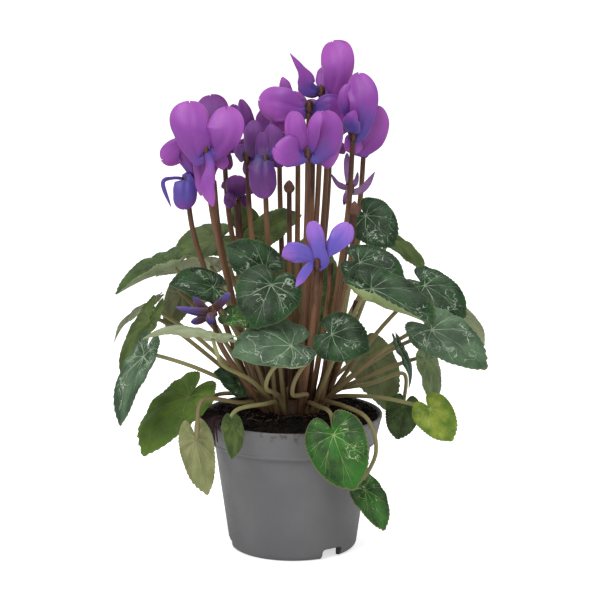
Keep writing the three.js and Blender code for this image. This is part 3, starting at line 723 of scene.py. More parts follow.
@dataclass(frozen=True)
class StemSkin:
    """Skin of a stalk, tuber or bud: it changes from root to top and carries fine lengthwise streaks."""

    name: str
    root: str
    middle: str
    top: str
    roughness: float = 0.45
    cloud_shift: float = 0.9  # how far clouds move the colours along the stalk
    middle_band: Band = (0.05, 0.45)
    top_band: Band = (0.55, 0.95)
    own_band: Band = (0.4, 0.62)
    own_tone: float = 0.5  # how much of the root's colour a dull stalk takes
    streak_band: Band = (0.5, 0.75)
    streak_tone: float = 0.3
    shine: float = 0.3

    def material(self) -> Material:
        """Makes the material.

        Returns:
            The material.
        """
        material, graph, shader = new_material(self.name)
        turn, share, _ = graph.split(graph.layer("plane"))
        _, seed, _ = graph.split(graph.layer("share"))
        tones = graph.group(MOTTLE, Place=graph.join(seed, graph.times(share, 3.0), turn), Scale=2.0)
        along = graph.plus(share, graph.times(graph.minus(tones.outputs["Clouds"], 0.5), self.cloud_shift))
        colour = graph.mix(graph.step(along, *self.middle_band), tint(self.root), tint(self.middle))
        colour = graph.cover(colour, self.top, graph.step(along, *self.top_band))
        own = graph.noise(graph.join(seed, 2.0, 5.0), 2.7, 0.0)
        colour = graph.cover(colour, self.root, graph.step(own, *self.own_band, 0.0, self.own_tone))
        lines = graph.noise(graph.join(graph.times(turn, 8.0), share, seed), 3.0, 2.0)
        colour = graph.cover(colour, self.root, graph.step(lines, *self.streak_band, 0.0, self.streak_tone))
        low = self.roughness - 0.08
        rough = graph.step(tones.outputs["Grain"], *EVEN, low, low + 0.18)
        graph.wire(shader, Base_Color=colour, Roughness=rough, Specular_IOR_Level=self.shine)
        emboss(graph, shader, graph.plus(lines, tones.outputs["Grain"]), 0.4, 0.2 * MM)
        return material


@dataclass(frozen=True)
class MoistPeat:
    """Dark peat: nearly black crumbs with reddish-brown and pale bits. Scales are in cells to the metre."""

    name: str = "moist peat"
    dark: str = "#060504"
    brown: str = "#140e09"
    rust: str = "#2f1b13"
    bit: str = "#5c4836"
    cloud_scale: float = 150.0
    rust_scale: float = 420.0
    rust_band: Band = (0.56, 0.66)
    bit_scale: float = 800.0
    bit_band: Band = (0.68, 0.74)
    gloss: Band = (0.98, 0.75)
    shine: float = 0.2

    def material(self) -> Material:
        """Makes the material.

        Returns:
            The material.
        """
        material, graph, shader = new_material(self.name)
        place = graph.place()
        tones = graph.group(MOTTLE, Place=place, Scale=self.cloud_scale)
        clouds = tones.outputs["Clouds"]
        colour = graph.mix(graph.step(clouds, 0.35, 0.7), tint(self.dark), tint(self.brown))
        rust = graph.step(graph.noise(place, self.rust_scale), *self.rust_band, 0.0, 0.7)
        colour = graph.cover(colour, self.rust, rust)
        pale = graph.step(graph.noise(place, self.bit_scale), *self.bit_band, 0.0, 0.8)
        colour = graph.cover(colour, self.bit, pale)
        rough = graph.step(clouds, *EVEN, *self.gloss)
        graph.wire(shader, Base_Color=colour, Roughness=rough, Specular_IOR_Level=self.shine)
        emboss(graph, shader, graph.plus(clouds, tones.outputs["Grain"]), 0.9, 1.2 * MM)
        return material


@dataclass(frozen=True)
class NurseryPlastic:
    """Thin satin grey plastic with a faint grain, rubbed spots and soil dust under the rim."""

    name: str = "nursery plastic"
    body: str = "#606062"
    worn: str = "#6e6e70"
    dirt: str = "#4d3d31"
    rim_height: float = 80 * MM
    dirt_reach: float = 12 * MM
    cloud_scale: float = 28.0
    worn_tone: float = 0.6
    spot_scale: float = 210.0
    spot_band: Band = (0.55, 0.66)
    dirt_tone: float = 0.8
    dust_scale: float = 900.0
    dust_band: Band = (0.68, 0.74)
    dust_tone: float = 0.35
    gloss: Band = (0.42, 0.52)
    dirt_dullness: float = 0.4

    def material(self) -> Material:
        """Makes the material.

        Returns:
            The material.
        """
        material, graph, shader = new_material(self.name)
        place = graph.place()
        _, _, z = graph.split(place)
        tones = graph.group(MOTTLE, Place=place, Scale=self.cloud_scale)
        worn = graph.step(tones.outputs["Clouds"], 0.35, 0.7, 0.0, self.worn_tone)
        colour = graph.mix(worn, tint(self.body), tint(self.worn))
        up = graph.step(z, self.rim_height - self.dirt_reach, self.rim_height)
        spots = graph.step(graph.noise(place, self.spot_scale, 4.0), *self.spot_band)
        soiled = graph.times(graph.times(up, spots), self.dirt_tone)
        colour = graph.cover(colour, self.dirt, soiled)
        dust = graph.step(graph.noise(place, self.dust_scale), *self.dust_band, 0.0, self.dust_tone)
        colour = graph.cover(colour, self.worn, dust)
        rough = graph.step(tones.outputs["Grain"], 0.35, 0.65, *self.gloss)
        rough = graph.plus(rough, graph.times(soiled, self.dirt_dullness))
        graph.wire(shader, Base_Color=colour, Roughness=rough)
        emboss(graph, shader, graph.plus(tones.outputs["Grain"], soiled), 0.18, 0.2 * MM)
        return material


# ---- sizes shared with the solids


@dataclass(frozen=True)
class PotSizes:
    """The pot, in millimetres."""

    rim: float = 52.5
    height: float = 80.0
    band: float = 16.5
    draft: float = 3.7
    step: float = 2.95
    base: float = 37.6
    rounding: float = 4.0
    wall: float = 1.2
    floor: float = 1.6
    lip: float = 1.4
    boss: float = 14.0
    channel: float = 33.0
    channel_height: float = 6.2
    notches: int = 3
    notch_width: float = 14.0
    notch_first: float = -52.0

    def inside(self) -> float:
        """Radius of the opening inside the lip."""
        return self.rim - self.wall - self.lip


POT = PotSizes()
TUBER_RADIUS = 24.0
TUBER_TOP = 88.0
TUBER_HALF = 13.0
ROOT_DEPTH = 9.0
FLOWER_STALK = 1.6
LEAF_STALK = 1.25
THROAT_RADIUS = 3.2
THROAT_HEIGHT = 6.5
AIR = 0.35


@dataclass(frozen=True)
class Drawing:
    """The front view that blooms are drawn in: steps across and down, and a depth behind the pot's axis."""

    away: float = 1300.0
    up: float = 399.5
    down: float = 0.192
    steps: float = 2283.9
    middle: float = 300.0
    axis: float = 292.66
    step: float = 0.58

    def place(self, spot: Point) -> Array:
        """The place of a drawn spot.

        Args:
            spot: Steps across, steps down and the depth in millimetres.

        Returns:
            The place in millimetres.
        """
        across, down, depth = spot
        right, rise = (across - self.axis) / self.steps, (self.middle - down) / self.steps
        cos, sin = math.cos(self.down), math.sin(self.down)
        reach = (depth + self.away) / (cos + rise * sin)
        return np.array([right * reach, depth, self.up + (rise * cos - sin) * reach])


DRAWN = Drawing()


class Tone(Enum):
    """Which of the plant's finishes a piece takes: the record's slot name."""

    DARK = "dark_leaf"
    BRIGHT = "bright_leaf"
    OLIVE = "olive_leaf"
    PALE = "pale_leaf"
    PETAL = "petal"
    BLUE = "blue_petal"
    SPENT = "spent_petal"


class Coat(Enum):
    """How a leaf's two faces look."""

    DARK = "dark leaf"
    GREY = "grey leaf"
    # A lighter, greyer copy of the dark leaf: painted sheen for leaves that catch a soft reflection.
    FRESH = "fresh leaf"
    YOUNG = "young leaf"
    DULL = "dull leaf"
    OLIVE = "olive leaf"
    PALE = "pale leaf"
    AGED = "aged leaf"


# ---- pot and soil


@dataclass
class NurseryPot:
    """The thin pot: a turned shell with a rolled lip, a band, a rounded base, and notches in its foot."""

    sizes: PotSizes = POT
    sides: int = 192
    arc_steps: int = 9
    notch_corner: float = 2.0
    notch_reach: float = 6.0
    crisp: float = 38.0

    def outline(self) -> Array:
        """The turned outline, outside from the base to the lip, then down the inside.

        Returns:
            Radius and height at each station.
        """
        s = self.sizes
        band_foot, band = s.height - s.band, s.rim - s.draft
        body_top = band - s.step
        foot = s.base - s.rounding
        turn = np.radians(np.linspace(0, 90, self.arc_steps))
        rounded = np.stack([foot + s.rounding * np.sin(turn), s.rounding * (1 - np.cos(turn))], 1)
        turn = np.radians(np.linspace(0, 180, self.arc_steps))
        roll = (s.lip + 0.2) / 2
        lip = np.stack([s.rim - 0.15 - roll + roll * np.cos(turn), s.height - roll + roll * np.sin(turn)], 1)
        boss_side = [(0.0, 0.0), (s.boss - 0.4, 0.0), (s.boss, 0.3), (s.boss + 2, s.channel_height - 0.4)]
        channel = [(s.boss + 2.5, s.channel_height), (s.channel - 0.5, s.channel_height)]
        ring = [(foot - 1.2, 0.25), (foot - 0.8, 0.0)]
        step = [body_top, band_foot] + np.array([(-0.12, -2.2), (0.0, -0.9), (0.5, -0.45)])
        bead = np.array([(-0.7, -0.2), (-0.15, 0.05), (0.02, 0.5), (0.35, 1.6), (0.22, 1.9), (0.4, 2.3)])
        bead = bead + [band, band_foot]
        under_lip = [(s.rim - 0.75, s.height - 3.2), (s.rim - 0.3, s.height - 2.2)]
        inside = [(s.inside() - 0.1, s.height - 2.0), (body_top + s.step - s.wall, band_foot + s.wall + 0.6)]
        inside += [(body_top - s.wall, band_foot + s.wall)]
        floor_top = s.channel_height + s.floor
        floor = [(s.base - 2.0, floor_top), (s.boss, floor_top), (s.boss - 2, s.floor), (0.0, s.floor)]
        rows = (boss_side, channel, ring, rounded, step, bead, under_lip, lip, inside, floor)
        return np.vstack([np.asarray(row, float) for row in rows])

    def build(self) -> list[Piece]:
        """Turns the outline, cuts the notches and dresses the shell.

        Returns:
            The pot's one piece.
        """
        line = self.outline()
        inner = line[1:-1]
        body = rings(inner[:, :1], circle(self.sides), inner[:, 1:]).reshape(-1, 3)
        shape = Shape()
        ends = [[0, 0, line[0, 1]], [0, 0, line[-1, 1]]]
        shape.add(np.vstack([body, ends]), capped_faces(len(inner), self.sides))
        pot = shape.build("pot_shell", [NurseryPlastic().material()])
        for number in range(self.sizes.notches):
            turn = math.radians(self.sizes.notch_first + 360 / self.sizes.notches * number)
            self.cut(pot, self.notch_cutter(turn))
        pot.data.set_sharp_from_angle(angle=math.radians(self.crisp))
        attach(pot, "root")
        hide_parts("pot")
        return [pot]

    def notch_cutter(self, turn: float) -> Piece:
        """A block with a rounded top that has the form of a drainage notch.

        Args:
            turn: Where the notch is, round the pot in radians.

        Returns:
            The block, as an object of its own.
        """
        s, corner = self.sizes, self.notch_corner
        half, top = s.notch_width / 2, s.channel_height
        bend = np.radians(np.linspace(0, 90, 5))
        side = np.stack([half - corner + corner * np.cos(bend), top - corner + corner * np.sin(bend)], 1)
        profile = np.vstack([[half, -4.0], side, side[::-1] * [-1, 1], [-half, -4.0]])
        depth = np.array([s.base - self.notch_reach, s.base + self.notch_reach])
        outward = np.array([math.cos(turn), math.sin(turn)])
        sideways = np.array([-outward[1], outward[0]])
        flat = depth[:, None, None] * outward + profile[None, :, :1] * sideways
        rise = np.broadcast_to(profile[None, :, 1:], (2, len(profile), 1))
        points = np.concatenate([flat, rise], 2).reshape(-1, 3)
        k = len(profile)
        rows = grid_faces(2, k, True).tolist() + [list(range(k))[::-1], list(range(k, 2 * k))]
        mesh = bpy.data.meshes.new("notch")
        mesh.from_pydata((points * MM).tolist(), [], rows)
        cutter = bpy.data.objects.new("notch", mesh)
        bpy.context.scene.collection.objects.link(cutter)
        return cutter

    def cut(self, pot: Piece, cutter: Piece) -> None:
        """Cuts a block out of the pot's mesh and removes the block.

        Args:
            pot: The shell.
            cutter: The block.
        """
        cut = pot.modifiers.new("notch", "BOOLEAN")
        cut.operation, cut.solver, cut.object = "DIFFERENCE", "EXACT", cutter
        graph = bpy.context.evaluated_depsgraph_get()
        pot.data = bpy.data.meshes.new_from_object(pot.evaluated_get(graph))
        pot.modifiers.clear()
        bpy.data.objects.remove(cutter)


@dataclass
class PeatBed:
    """The soil: a crumbly heap that fills the pot, with loose crumbs, thin roots and withered shreds on it.

    Lengths are in millimetres. Each row of the lumps is their height, their frequency and their phase.
    """

    edge_below_rim: float = 1.8
    heap: float = 4.7
    hollow: float = 24.5
    lumps: tuple[Point, ...] = ((0.8, 0.33, 0.4), (0.5, 0.8, 2.1), (0.35, 1.7, 4.0), (0.22, 3.1, 1.1))
    rough: float = 0.16
    rows: int = 96
    sides: int = 260
    crumbs: int = 900
    crumb_sides: int = 7
    crumb_rows: int = 5
    fibres: int = 46
    fibre_steps: int = 6
    fibre_stride: float = 2.2
    fibre_radii: Band = (0.32, 0.12)
    shreds: int = 26
    shred_span: Band = (184.0, 218.0)  # where the withered shreds hang, round the pot in degrees
    shred_drop: Band = (2.0, 13.0)
    shape: Shape = field(default_factory=Shape)
    random: np.random.Generator = field(default_factory=lambda: np.random.default_rng(11))

    def surface(self, x: Array, y: Array) -> Array:
        """Height of the soil: the heap with lumps of four sizes, which are lower at the rim.

        Args:
            x: Places across.
            y: Places in depth.

        Returns:
            The heights in millimetres.
        """
        r = np.hypot(x, y)
        brim = POT.inside()
        share = np.clip((brim - r) / (brim - self.hollow), 0, 1)
        base = POT.height - self.edge_below_rim + self.heap * np.sin(share * np.pi / 2)
        lumps = sum(a * np.sin(f * x + p) * np.sin(f * 0.93 * y + 1.7 * p) for a, f, p in self.lumps)
        return base + lumps * (0.45 + 0.55 * smooth_step(0.0, 2.5, brim - r))

    def height_at(self, x: float, y: float) -> float:
        """Height of the soil at one place."""
        return float(self.surface(np.array(x), np.array(y)))

    def build(self) -> list[Piece]:
        """Makes the bed, its crumbs, its roots and its shreds as one piece.

        Returns:
            The soil's one piece.
        """
        self.add_bed()
        self.add_crumbs()
        self.add_fibres()
        self.add_shreds()
        fibre = StemSkin("root fibre", "#4a3426", "#6d5140", "#8a6d58", 0.8)
        shred = StemSkin("withered shred", "#1f1316", "#38232a", "#4a3034", 0.8)
        soil = self.shape.build("peat_bed", [MoistPeat().material(), fibre.material(), shred.material()])
        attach(soil, "root")
        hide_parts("soil")
        return [soil]

    def add_bed(self) -> None:
        """Adds the heap's top, its side and its underside as one closed body."""
        turn = circle(self.sides)
        radii = np.linspace(POT.inside() - 0.5, 1.5, self.rows)[:, None]
        top = rings(radii, turn, 0.0)
        x, y = top[..., 0], top[..., 1]
        top[..., 2] = self.surface(x, y) + self.random.normal(0, self.rough, x.shape)
        low = POT.channel_height + POT.floor + 1.0
        side = rings(POT.base - 1.5, turn, low)
        wall = rings(POT.rim - POT.draft - POT.step - POT.wall - 0.6, turn, POT.height - POT.band)
        ends = [[0, 0, low], [0, 0, self.height_at(0.0, 0.0)]]
        points = np.vstack([side, wall, top.reshape(-1, 3), ends])
        self.shape.add(points, capped_faces(self.rows + 2, self.sides))

    def add_crumbs(self) -> None:
        """Adds loose crumbs, more and smaller ones along the rim."""
        random, far = self.random, POT.inside() - 1.2
        around = circle(self.crumb_sides)
        up = np.linspace(-1, 1, self.crumb_rows)[1:-1, None] * 0.8
        count = len(up) * self.crumb_sides + 2
        ball = rings(np.sqrt(1 - up**2), around, up).reshape(-1, 3)
        ball = np.vstack([ball, [0, 0, -1], [0, 0, 1]])
        faces = capped_faces(len(up), self.crumb_sides)
        for _ in range(self.crumbs):
            spread = random.random() < 0.6
            share = math.sqrt(random.uniform(0.12, 1.0)) if spread else 1.0
            r = far * share if spread else far - random.gamma(1.2, 2.2)
            turn = random.uniform(0, 2 * np.pi)
            size = min(random.gamma(2.2, 0.36) + 0.35, 2.2) * (0.75 if r > far - 3 else 1.0)
            x, y = r * math.cos(turn), r * math.sin(turn)
            crumb = ball * random.uniform(0.7, 1.25, (count, 1)) * random.uniform(0.6, 1.2, 3) * size
            self.shape.add(crumb + [x, y, self.height_at(x, y) + 0.1 * size], faces)

    def add_fibres(self) -> None:
        """Adds thin roots that lie on the crumbs."""
        random, limit = self.random, POT.rim - 3.5
        for i in range(self.fibres):
            r, turn = random.uniform(22, 47), random.uniform(0, 2 * np.pi)
            heading = random.uniform(0, 2 * np.pi)
            steps = []
            x, y = r * math.cos(turn), r * math.sin(turn)
            for _ in range(self.fibre_steps):
                steps.append((x, y, self.height_at(x, y) + random.uniform(0.2, 1.1)))
                heading += random.normal(0, 0.5)
                x, y = x + self.fibre_stride * math.cos(heading), y + self.fibre_stride * math.sin(heading)
                if math.hypot(x, y) > limit:
                    x, y = x * limit / math.hypot(x, y), y * limit / math.hypot(x, y)
            self.shape.add_tube(spline(steps, 18), np.linspace(*self.fibre_radii, 18), 5, 1, i * 0.37)

    def add_shreds(self) -> None:
        """Adds withered shreds that hang over the pot's rim at the left."""
        random = self.random
        for i in range(self.shreds):
            turn = math.radians(random.uniform(*self.shred_span))
            drift, low = random.uniform(-0.05, 0.05), random.uniform(*self.shred_drop)
            # Each station: out from the rim, up from it, and how much of the drift it takes.
            way = ((-9.0, 1.5, -1.0), (-3.5, 2.0, -0.4), (0.3, 1.5, 0.2), (1.6, -1.5, 0.7), (1.4, -low, 1.6))
            steps = []
            for out, up, part in way:
                r, place = POT.rim + out + random.uniform(-0.2, 0.5), turn + drift * part
                height = POT.height + up + random.uniform(-0.6, 0.6)
                steps.append((r * math.cos(place), r * math.sin(place), height))
            width = random.uniform(0.5, 1.2) * np.sin(np.linspace(0.5, 2.95, 16)) ** 0.7 + 0.08
            self.shape.add_tube(spline(steps, 16), width, 7, 2, i * 0.29)


# ---- leaves


@dataclass(frozen=True)
class BladeForm:
    """What all blades share: their bends in leaf lengths, their mesh, and their thickness in millimetres.

    The saw gives the stations of one tooth, as shares of its depth.
    """

    bow: float = 0.1
    cup: float = 0.35
    wave: float = 0.03
    keel: float = 0.13
    keel_round: float = 0.004
    keel_depth: float = 0.063
    quilt: float = 0.03
    frills: tuple[Point, ...] = ((0.009, 8, 1), (0.005, 13, 2))  # height, waves round the blade, phase
    teeth: int = 52
    saw: tuple[float, ...] = (-0.5, 0.3, 1.0, 0.1)
    tooth: float = 0.018
    rows: int = 20
    edge_thickness: float = 0.3
    body_thickness: float = 0.4
    joint_half: float = 0.35


BLADE = BladeForm()


def heart(angle: Array) -> Array:
    """The outline of a heart of length 1.

    Args:
        angle: Angles in radians from the heart's point, seen from the joint.

    Returns:
        The distance from the joint to the edge at each angle.
    """
    lobes = 0.6 - 0.09 * (1 - np.cos(angle))
    point = 0.28 * np.maximum(0, np.cos(angle)) ** 4 + 0.12 * np.exp(-np.abs(angle) / 0.16)
    from_notch = (np.pi - np.abs(angle)) / math.radians(16)
    return (lobes + point) * (1 - 0.75 * np.exp(-(from_notch**2)))


@dataclass(frozen=True)
class Leaf:
    """One leaf: where its blade meets the stalk, its point, the way it looks up, and its own bends.

    The roll turns an edge up (or down when negative): the side in degrees from the point, the bend, how many
    degrees of the edge to each side it takes in, and where between joint and edge it starts.
    """

    name: str
    joint: Point
    tip: Point
    up: Point
    wide: float = 1.0
    tone: Tone = Tone.DARK
    coat: Coat = Coat.DARK
    roll: tuple[float, ...] = (0.0, 0.0, 38.0, 0.62)
    form: BladeForm = BLADE

    def axes(self) -> tuple[Array, float, Array, Array, Array]:
        """How the blade lies.

        Returns:
            The joint, the length, and the directions along, out of the upper face, and across.
        """
        joint = np.asarray(self.joint, float)
        along = np.asarray(self.tip, float) - joint
        size = float(np.linalg.norm(along))
        along = along / size
        out = np.asarray(self.up, float)
        out = unit(out - along * np.dot(out, along))
        return joint, size, along, out, np.cross(out, along)

    def seed(self) -> float:
        """A number of the leaf's own, from its place."""
        return (self.joint[0] * 0.37 + self.joint[1] * 0.73 + self.joint[2] * 0.19) % 6.0

    def height(self, x: Array, y: Array, share: Array) -> Array:
        """Height of the blade over its flat plane.

        Args:
            x: Places along the midrib, in leaf lengths.
            y: Places across it.
            share: The share of the way from joint to edge.

        Returns:
            The heights in leaf lengths.
        """
        form, phase = self.form, self.seed()
        angle = np.arctan2(y, x)
        arch = np.where(x > 0, 4 * form.bow * x * (1 - x), form.bow * x)
        ripple = form.wave * np.sin(3 * angle + self.joint[0]) * np.minimum(1, x * x + y * y)
        order = (np.abs(angle) * (1 + MARKS.lean * share) / MARKS.spread) ** (1 / MARKS.power)
        off = np.abs(order - np.round(order))
        quilt = form.quilt * (np.minimum(off * 2, 1) ** 0.7) * smooth_step(0.1, 0.5, share)
        frill = sum(a * np.sin(waves * angle + k * phase) for a, waves, k in form.frills)
        valley = form.keel * (np.sqrt(y * y + form.keel_round) - form.keel_depth)
        return arch - form.cup * y * y + ripple + valley + quilt + frill * smooth_step(0.55, 1.0, share)

    def surface(self) -> tuple[Array, Array, Array, Array]:
        """The blade's middle surface, with its teeth and its rolled edge.

        Returns:
            The points by row and column, their normals, their plane places and their shares.
        """
        form = self.form
        joint, size, along, out, across = self.axes()
        columns = form.teeth * len(form.saw)
        angle = -np.pi + 2 * np.pi * np.arange(columns) / columns
        share = np.concatenate([np.linspace(0.05, 0.93, form.rows - 2), [0.97, 1.0]])[:, None]
        saw = np.array(form.saw)[np.arange(columns) % len(form.saw)]
        depth = form.tooth * (1 + 0.5 * np.sin(5 * angle + self.seed()))
        drawn = heart(angle)[None] * share * (1 + (saw * depth)[None] * smooth_step(0.86, 1.0, share))
        side, bend, reach, start = self.roll
        window = np.exp(-(((np.degrees(angle) - side + 180) % 360 - 180) / reach) ** 2)[None]
        curl = bend * window + 1e-4
        hinge = start * heart(angle)[None]
        past = np.maximum(drawn - hinge, 0)
        radius = np.minimum(drawn, hinge) + np.sin(curl * past) / curl
        x, y = radius * np.cos(angle), radius * np.sin(angle) * self.wide
        z = self.height(x, y, share + 0 * x) + (1 - np.cos(curl * past)) / curl
        points = joint + size * (x[..., None] * along + y[..., None] * across + z[..., None] * out)
        wrapped = np.concatenate([points[:, -1:], points, points[:, :1]], 1)
        round_way = wrapped[:, 2:] - wrapped[:, :-2]
        centre = np.broadcast_to(joint, (1, columns, 3))
        outward = np.gradient(np.concatenate([centre, points]), axis=0)[1:]
        normals = unit(np.cross(outward, round_way))
        plane = np.stack([drawn * np.cos(angle), drawn * np.sin(angle)], -1)
        return points, normals, plane, share + 0 * x

    def shape(self) -> Shape:
        """The blade as a closed thin body.

        Returns:
            The mesh, with its upper face first and its back in the second material.
        """
        form = self.form
        joint, _, _, out, _ = self.axes()
        points, normals, plane, share = self.surface()
        rows, columns = share.shape
        half = 0.5 * (form.edge_thickness + form.body_thickness * (1 - share**3))[..., None]
        sheets = [(points + s * normals * half).reshape(-1, 3) for s in (1, -1)]
        centre = [joint + s * out * form.joint_half for s in (1, -1)]
        n = rows * columns
        top = np.vstack([grid_faces(rows, columns, True)[:, ::-1], fan(n, np.arange(columns))])
        faces = thin_faces(top, np.arange(columns) + n - columns, n + 1)
        slots = np.repeat([0, 1, 0], [len(top), len(top), columns])
        flat = np.vstack([plane.reshape(-1, 2), [0, 0]] * 2)
        grown = np.append(share.reshape(-1), 0.0)
        marks = np.stack([np.tile(grown, 2), np.full(2 * (n + 1), self.seed())], 1)
        body = np.vstack([sheets[0], centre[0], sheets[1], centre[1]])
        made = Shape()
        made.add(body, faces, slots, flat, marks)
        return made

    def stalk_line(self) -> Array:
        """Where the leaf's stalk runs, from the crown to just under the joint.

        Returns:
            The stations of its line.
        """
        joint, size, along, out, _ = self.axes()
        end = joint - out * 0.25
        approach = end - along * 0.06 * size - out * 0.22 * size
        via = [np.asarray(p, float) for p in STALK_WAYS.get(self.name, [])]
        first = (via[0] if via else joint).copy()
        first[2] = 0
        root = unit(first) * TUBER_RADIUS * 0.72
        root[2] = TUBER_TOP - ROOT_DEPTH
        rise = root * 1.25
        rise[2] = TUBER_TOP + 2
        if not via:
            middle = (rise + end) / 2
            middle[2] += 0.06 * np.linalg.norm(end - rise)
            via = [middle]
        return spline([root, rise, *via, approach, end], 44)


# Short names for the tables. A row gives the fields of its class in their order.
T = Tone
C = Coat
LEAVES = [
    Leaf("back_left", (-44, 35, 177), (-70, 25, 167), (-0.2, -0.6, 0.8), tone=T.BRIGHT, coat=C.OLIVE),
    Leaf("left_arm", (-71, -6, 169), (-100, -17, 149), (-0.35, -0.45, 0.8), 0.75, coat=C.DULL,
         roll=(85.0, 7.0, 60.0, 0.45)),
    Leaf("left_pale", (-48, 16, 164), (-80, 12, 157), (-0.1, 0.5, 0.85), 0.75, T.PALE, coat=C.PALE),
    Leaf("left_dark", (-45, -36, 161), (-69, -48, 165), (-0.1, -0.75, 0.65), 0.85),
    Leaf("left_droop", (-84, 12, 141), (-105, 6, 121), (-0.6, 0.3, 0.75), 0.7, coat=C.GREY),
    Leaf("left_hang", (-82, -20, 138), (-96, -27, 99), (-0.7, -0.6, 0.3), 0.5, T.OLIVE, coat=C.OLIVE,
         roll=(80.0, 2.5, 38.0, 0.62)),
    Leaf("left_small", (-66, 26, 146), (-75, 26, 124), (0.2, 0.9, 0.3), 0.7, T.OLIVE, coat=C.OLIVE),
    Leaf("left_low", (-84, -41, 122), (-98, -47, 83), (-0.55, -0.8, 0.2), 0.42, coat=C.GREY),
    Leaf("left_flat", (-44, -66, 138), (-83, -69, 138), (0.05, 0.44, 0.9), 0.55, T.PALE, coat=C.PALE),
    Leaf("mid_upper", (-16, -31, 171), (-38, -29, 184), (-0.2, -0.9, 0.5), 0.95,
         roll=(150.0, 2.0, 40.0, 0.62)),
    Leaf("mid_lower", (-12, -50, 165), (-21, -62, 142), (0, -0.85, 0.5), 1.3),
    Leaf("mid_bright", (-33, -40, 145), (-13, -46, 140), (0.1, -0.5, 0.85), tone=T.BRIGHT, coat=C.FRESH,
         roll=(-85.0, 5.0, 40.0, 0.62)),
    Leaf("back_olive", (-27, 52, 184), (-38, 54, 195), (-0.3, -0.7, 0.5), tone=T.OLIVE, coat=C.OLIVE),
    Leaf("back_curl", (-20, 36, 178), (5, 32, 192), (-0.4, -0.7, 0.6), 0.8, T.OLIVE, coat=C.OLIVE),
    Leaf("right_top", (42, -6, 197), (58, -14, 180), (0.1, -0.9, 0.4), 1.1),
    Leaf("right_rear", (59, 12, 179), (76, 10, 160), (0.5, 0.5, 0.7), 0.85, T.BRIGHT, coat=C.YOUNG),
    Leaf("right_inner", (38, -36, 175), (63, -39, 165), (0, -0.6, 0.8), 1.1),
    Leaf("right_big", (44, -58, 164), (78, -70, 141), (0.25, -0.6, 0.75), 0.85,
         roll=(-84.0, 8.0, 58.0, 0.46)),
    Leaf("right_outer", (76, -10, 157), (99, -16, 139), (0.3, -0.7, 0.6), 0.95),
    Leaf("right_far", (79, -34, 136), (110, -42, 115), (0.2, -0.75, 0.6), 0.8, coat=C.GREY),
    Leaf("right_pale", (94, 6, 139), (112, 2, 119), (0.5, 0.6, 0.6), 0.7, T.PALE, coat=C.PALE),
    Leaf("right_hang", (78, 2, 110), (80, -2, 82), (0.8, -0.6, 0.1), 0.75, T.OLIVE, coat=C.PALE),
    Leaf("right_bright", (79, -22, 87), (92, -26, 69), (0.1, -0.9, 0.3), tone=T.BRIGHT, coat=C.YOUNG),
    Leaf("right_shade", (66, 21, 78), (62, 21, 58), (0.1, -0.8, 0.3), coat=C.DULL),
    Leaf("front_left", (-1, -63, 133), (-34, -72, 129), (0.05, -0.65, 0.75), 1.1, coat=C.GREY,
         roll=(95.0, 11.0, 60.0, 0.7)),
    Leaf("front_right", (22, -56, 138), (43, -63, 130), (0.05, -0.9, 0.4), 1.2),
    Leaf("front_low", (23, -62, 82), (35, -67, 51), (-0.1, -0.97, 0.15), tone=T.BRIGHT, coat=C.FRESH),
    Leaf("front_folded", (-34, -57, 86), (-34, -63, 68), (0.5, -0.8, 0.2), 0.7, T.OLIVE, coat=C.OLIVE,
         roll=(90.0, 2.0, 38.0, 0.62)),
    Leaf("low_left", (-60, -14, 92), (-86, -28, 60), (-0.35, -0.55, 0.75), 0.8, T.BRIGHT, coat=C.AGED),
    Leaf("low_left_hang", (-55, -41, 74), (-48, -48, 43), (-0.3, 0.9, 0.3), 0.6, T.PALE, coat=C.AGED),
    Leaf("right_edge", (60, -34, 126), (66, -38, 103), (0.9, -0.3, 0.3), 0.6),
    Leaf("inner_dark", (45, 38, 106), (55, 36, 72), (0.3, 0.7, 0.65), coat=C.DARK),
    Leaf("low_right_trail", (41, -48, 46), (52, -51, 23), (0.4, -0.7, 0.5), 0.8, T.BRIGHT, coat=C.FRESH),
    Leaf("inner_left", (-31, -30, 104), (-45, -36, 112), (0, -0.7, 0.7)),
    Leaf("rear_left", (-44, 46, 147), (-62, 72, 125), (-0.4, 0.6, 0.7)),
    Leaf("rear_mid", (4, 48, 132), (10, 74, 172), (0, -0.7, 0.7), coat=C.DULL),
    Leaf("rear_right", (46, 46, 152), (62, 71, 130), (0.4, 0.6, 0.7)),
    Leaf("rear_low", (-10, 60, 106), (-14, 84, 78), (-0.1, 0.8, 0.5), 1.1),
]

# Places that a leaf's stalk passes on its way round others, from the crown out.
STALK_WAYS = {
    "left_flat": [(-24, -38, 108), (-38, -60, 121)],
    "front_left": [(-9, -31, 98), (-15, -44, 105), (-11, -55, 118)],
    "front_right": [(8, -31, 98), (0, -44, 101), (4, -52, 116)],
    "front_low": [(14, -34, 92), (21, -54, 93)],
    "front_folded": [(-16, -34, 93), (-31, -47, 93)],
    "low_right_trail": [(30, -32, 91), (43, -45, 86), (47, -50, 68)],
    "back_olive": [(-24, 54, 156)],
    "right_shade": [(46, 18, 93), (66, 26, 97)],
    "low_left_hang": [(-30, -30, 93), (-51, -42, 97)],
}


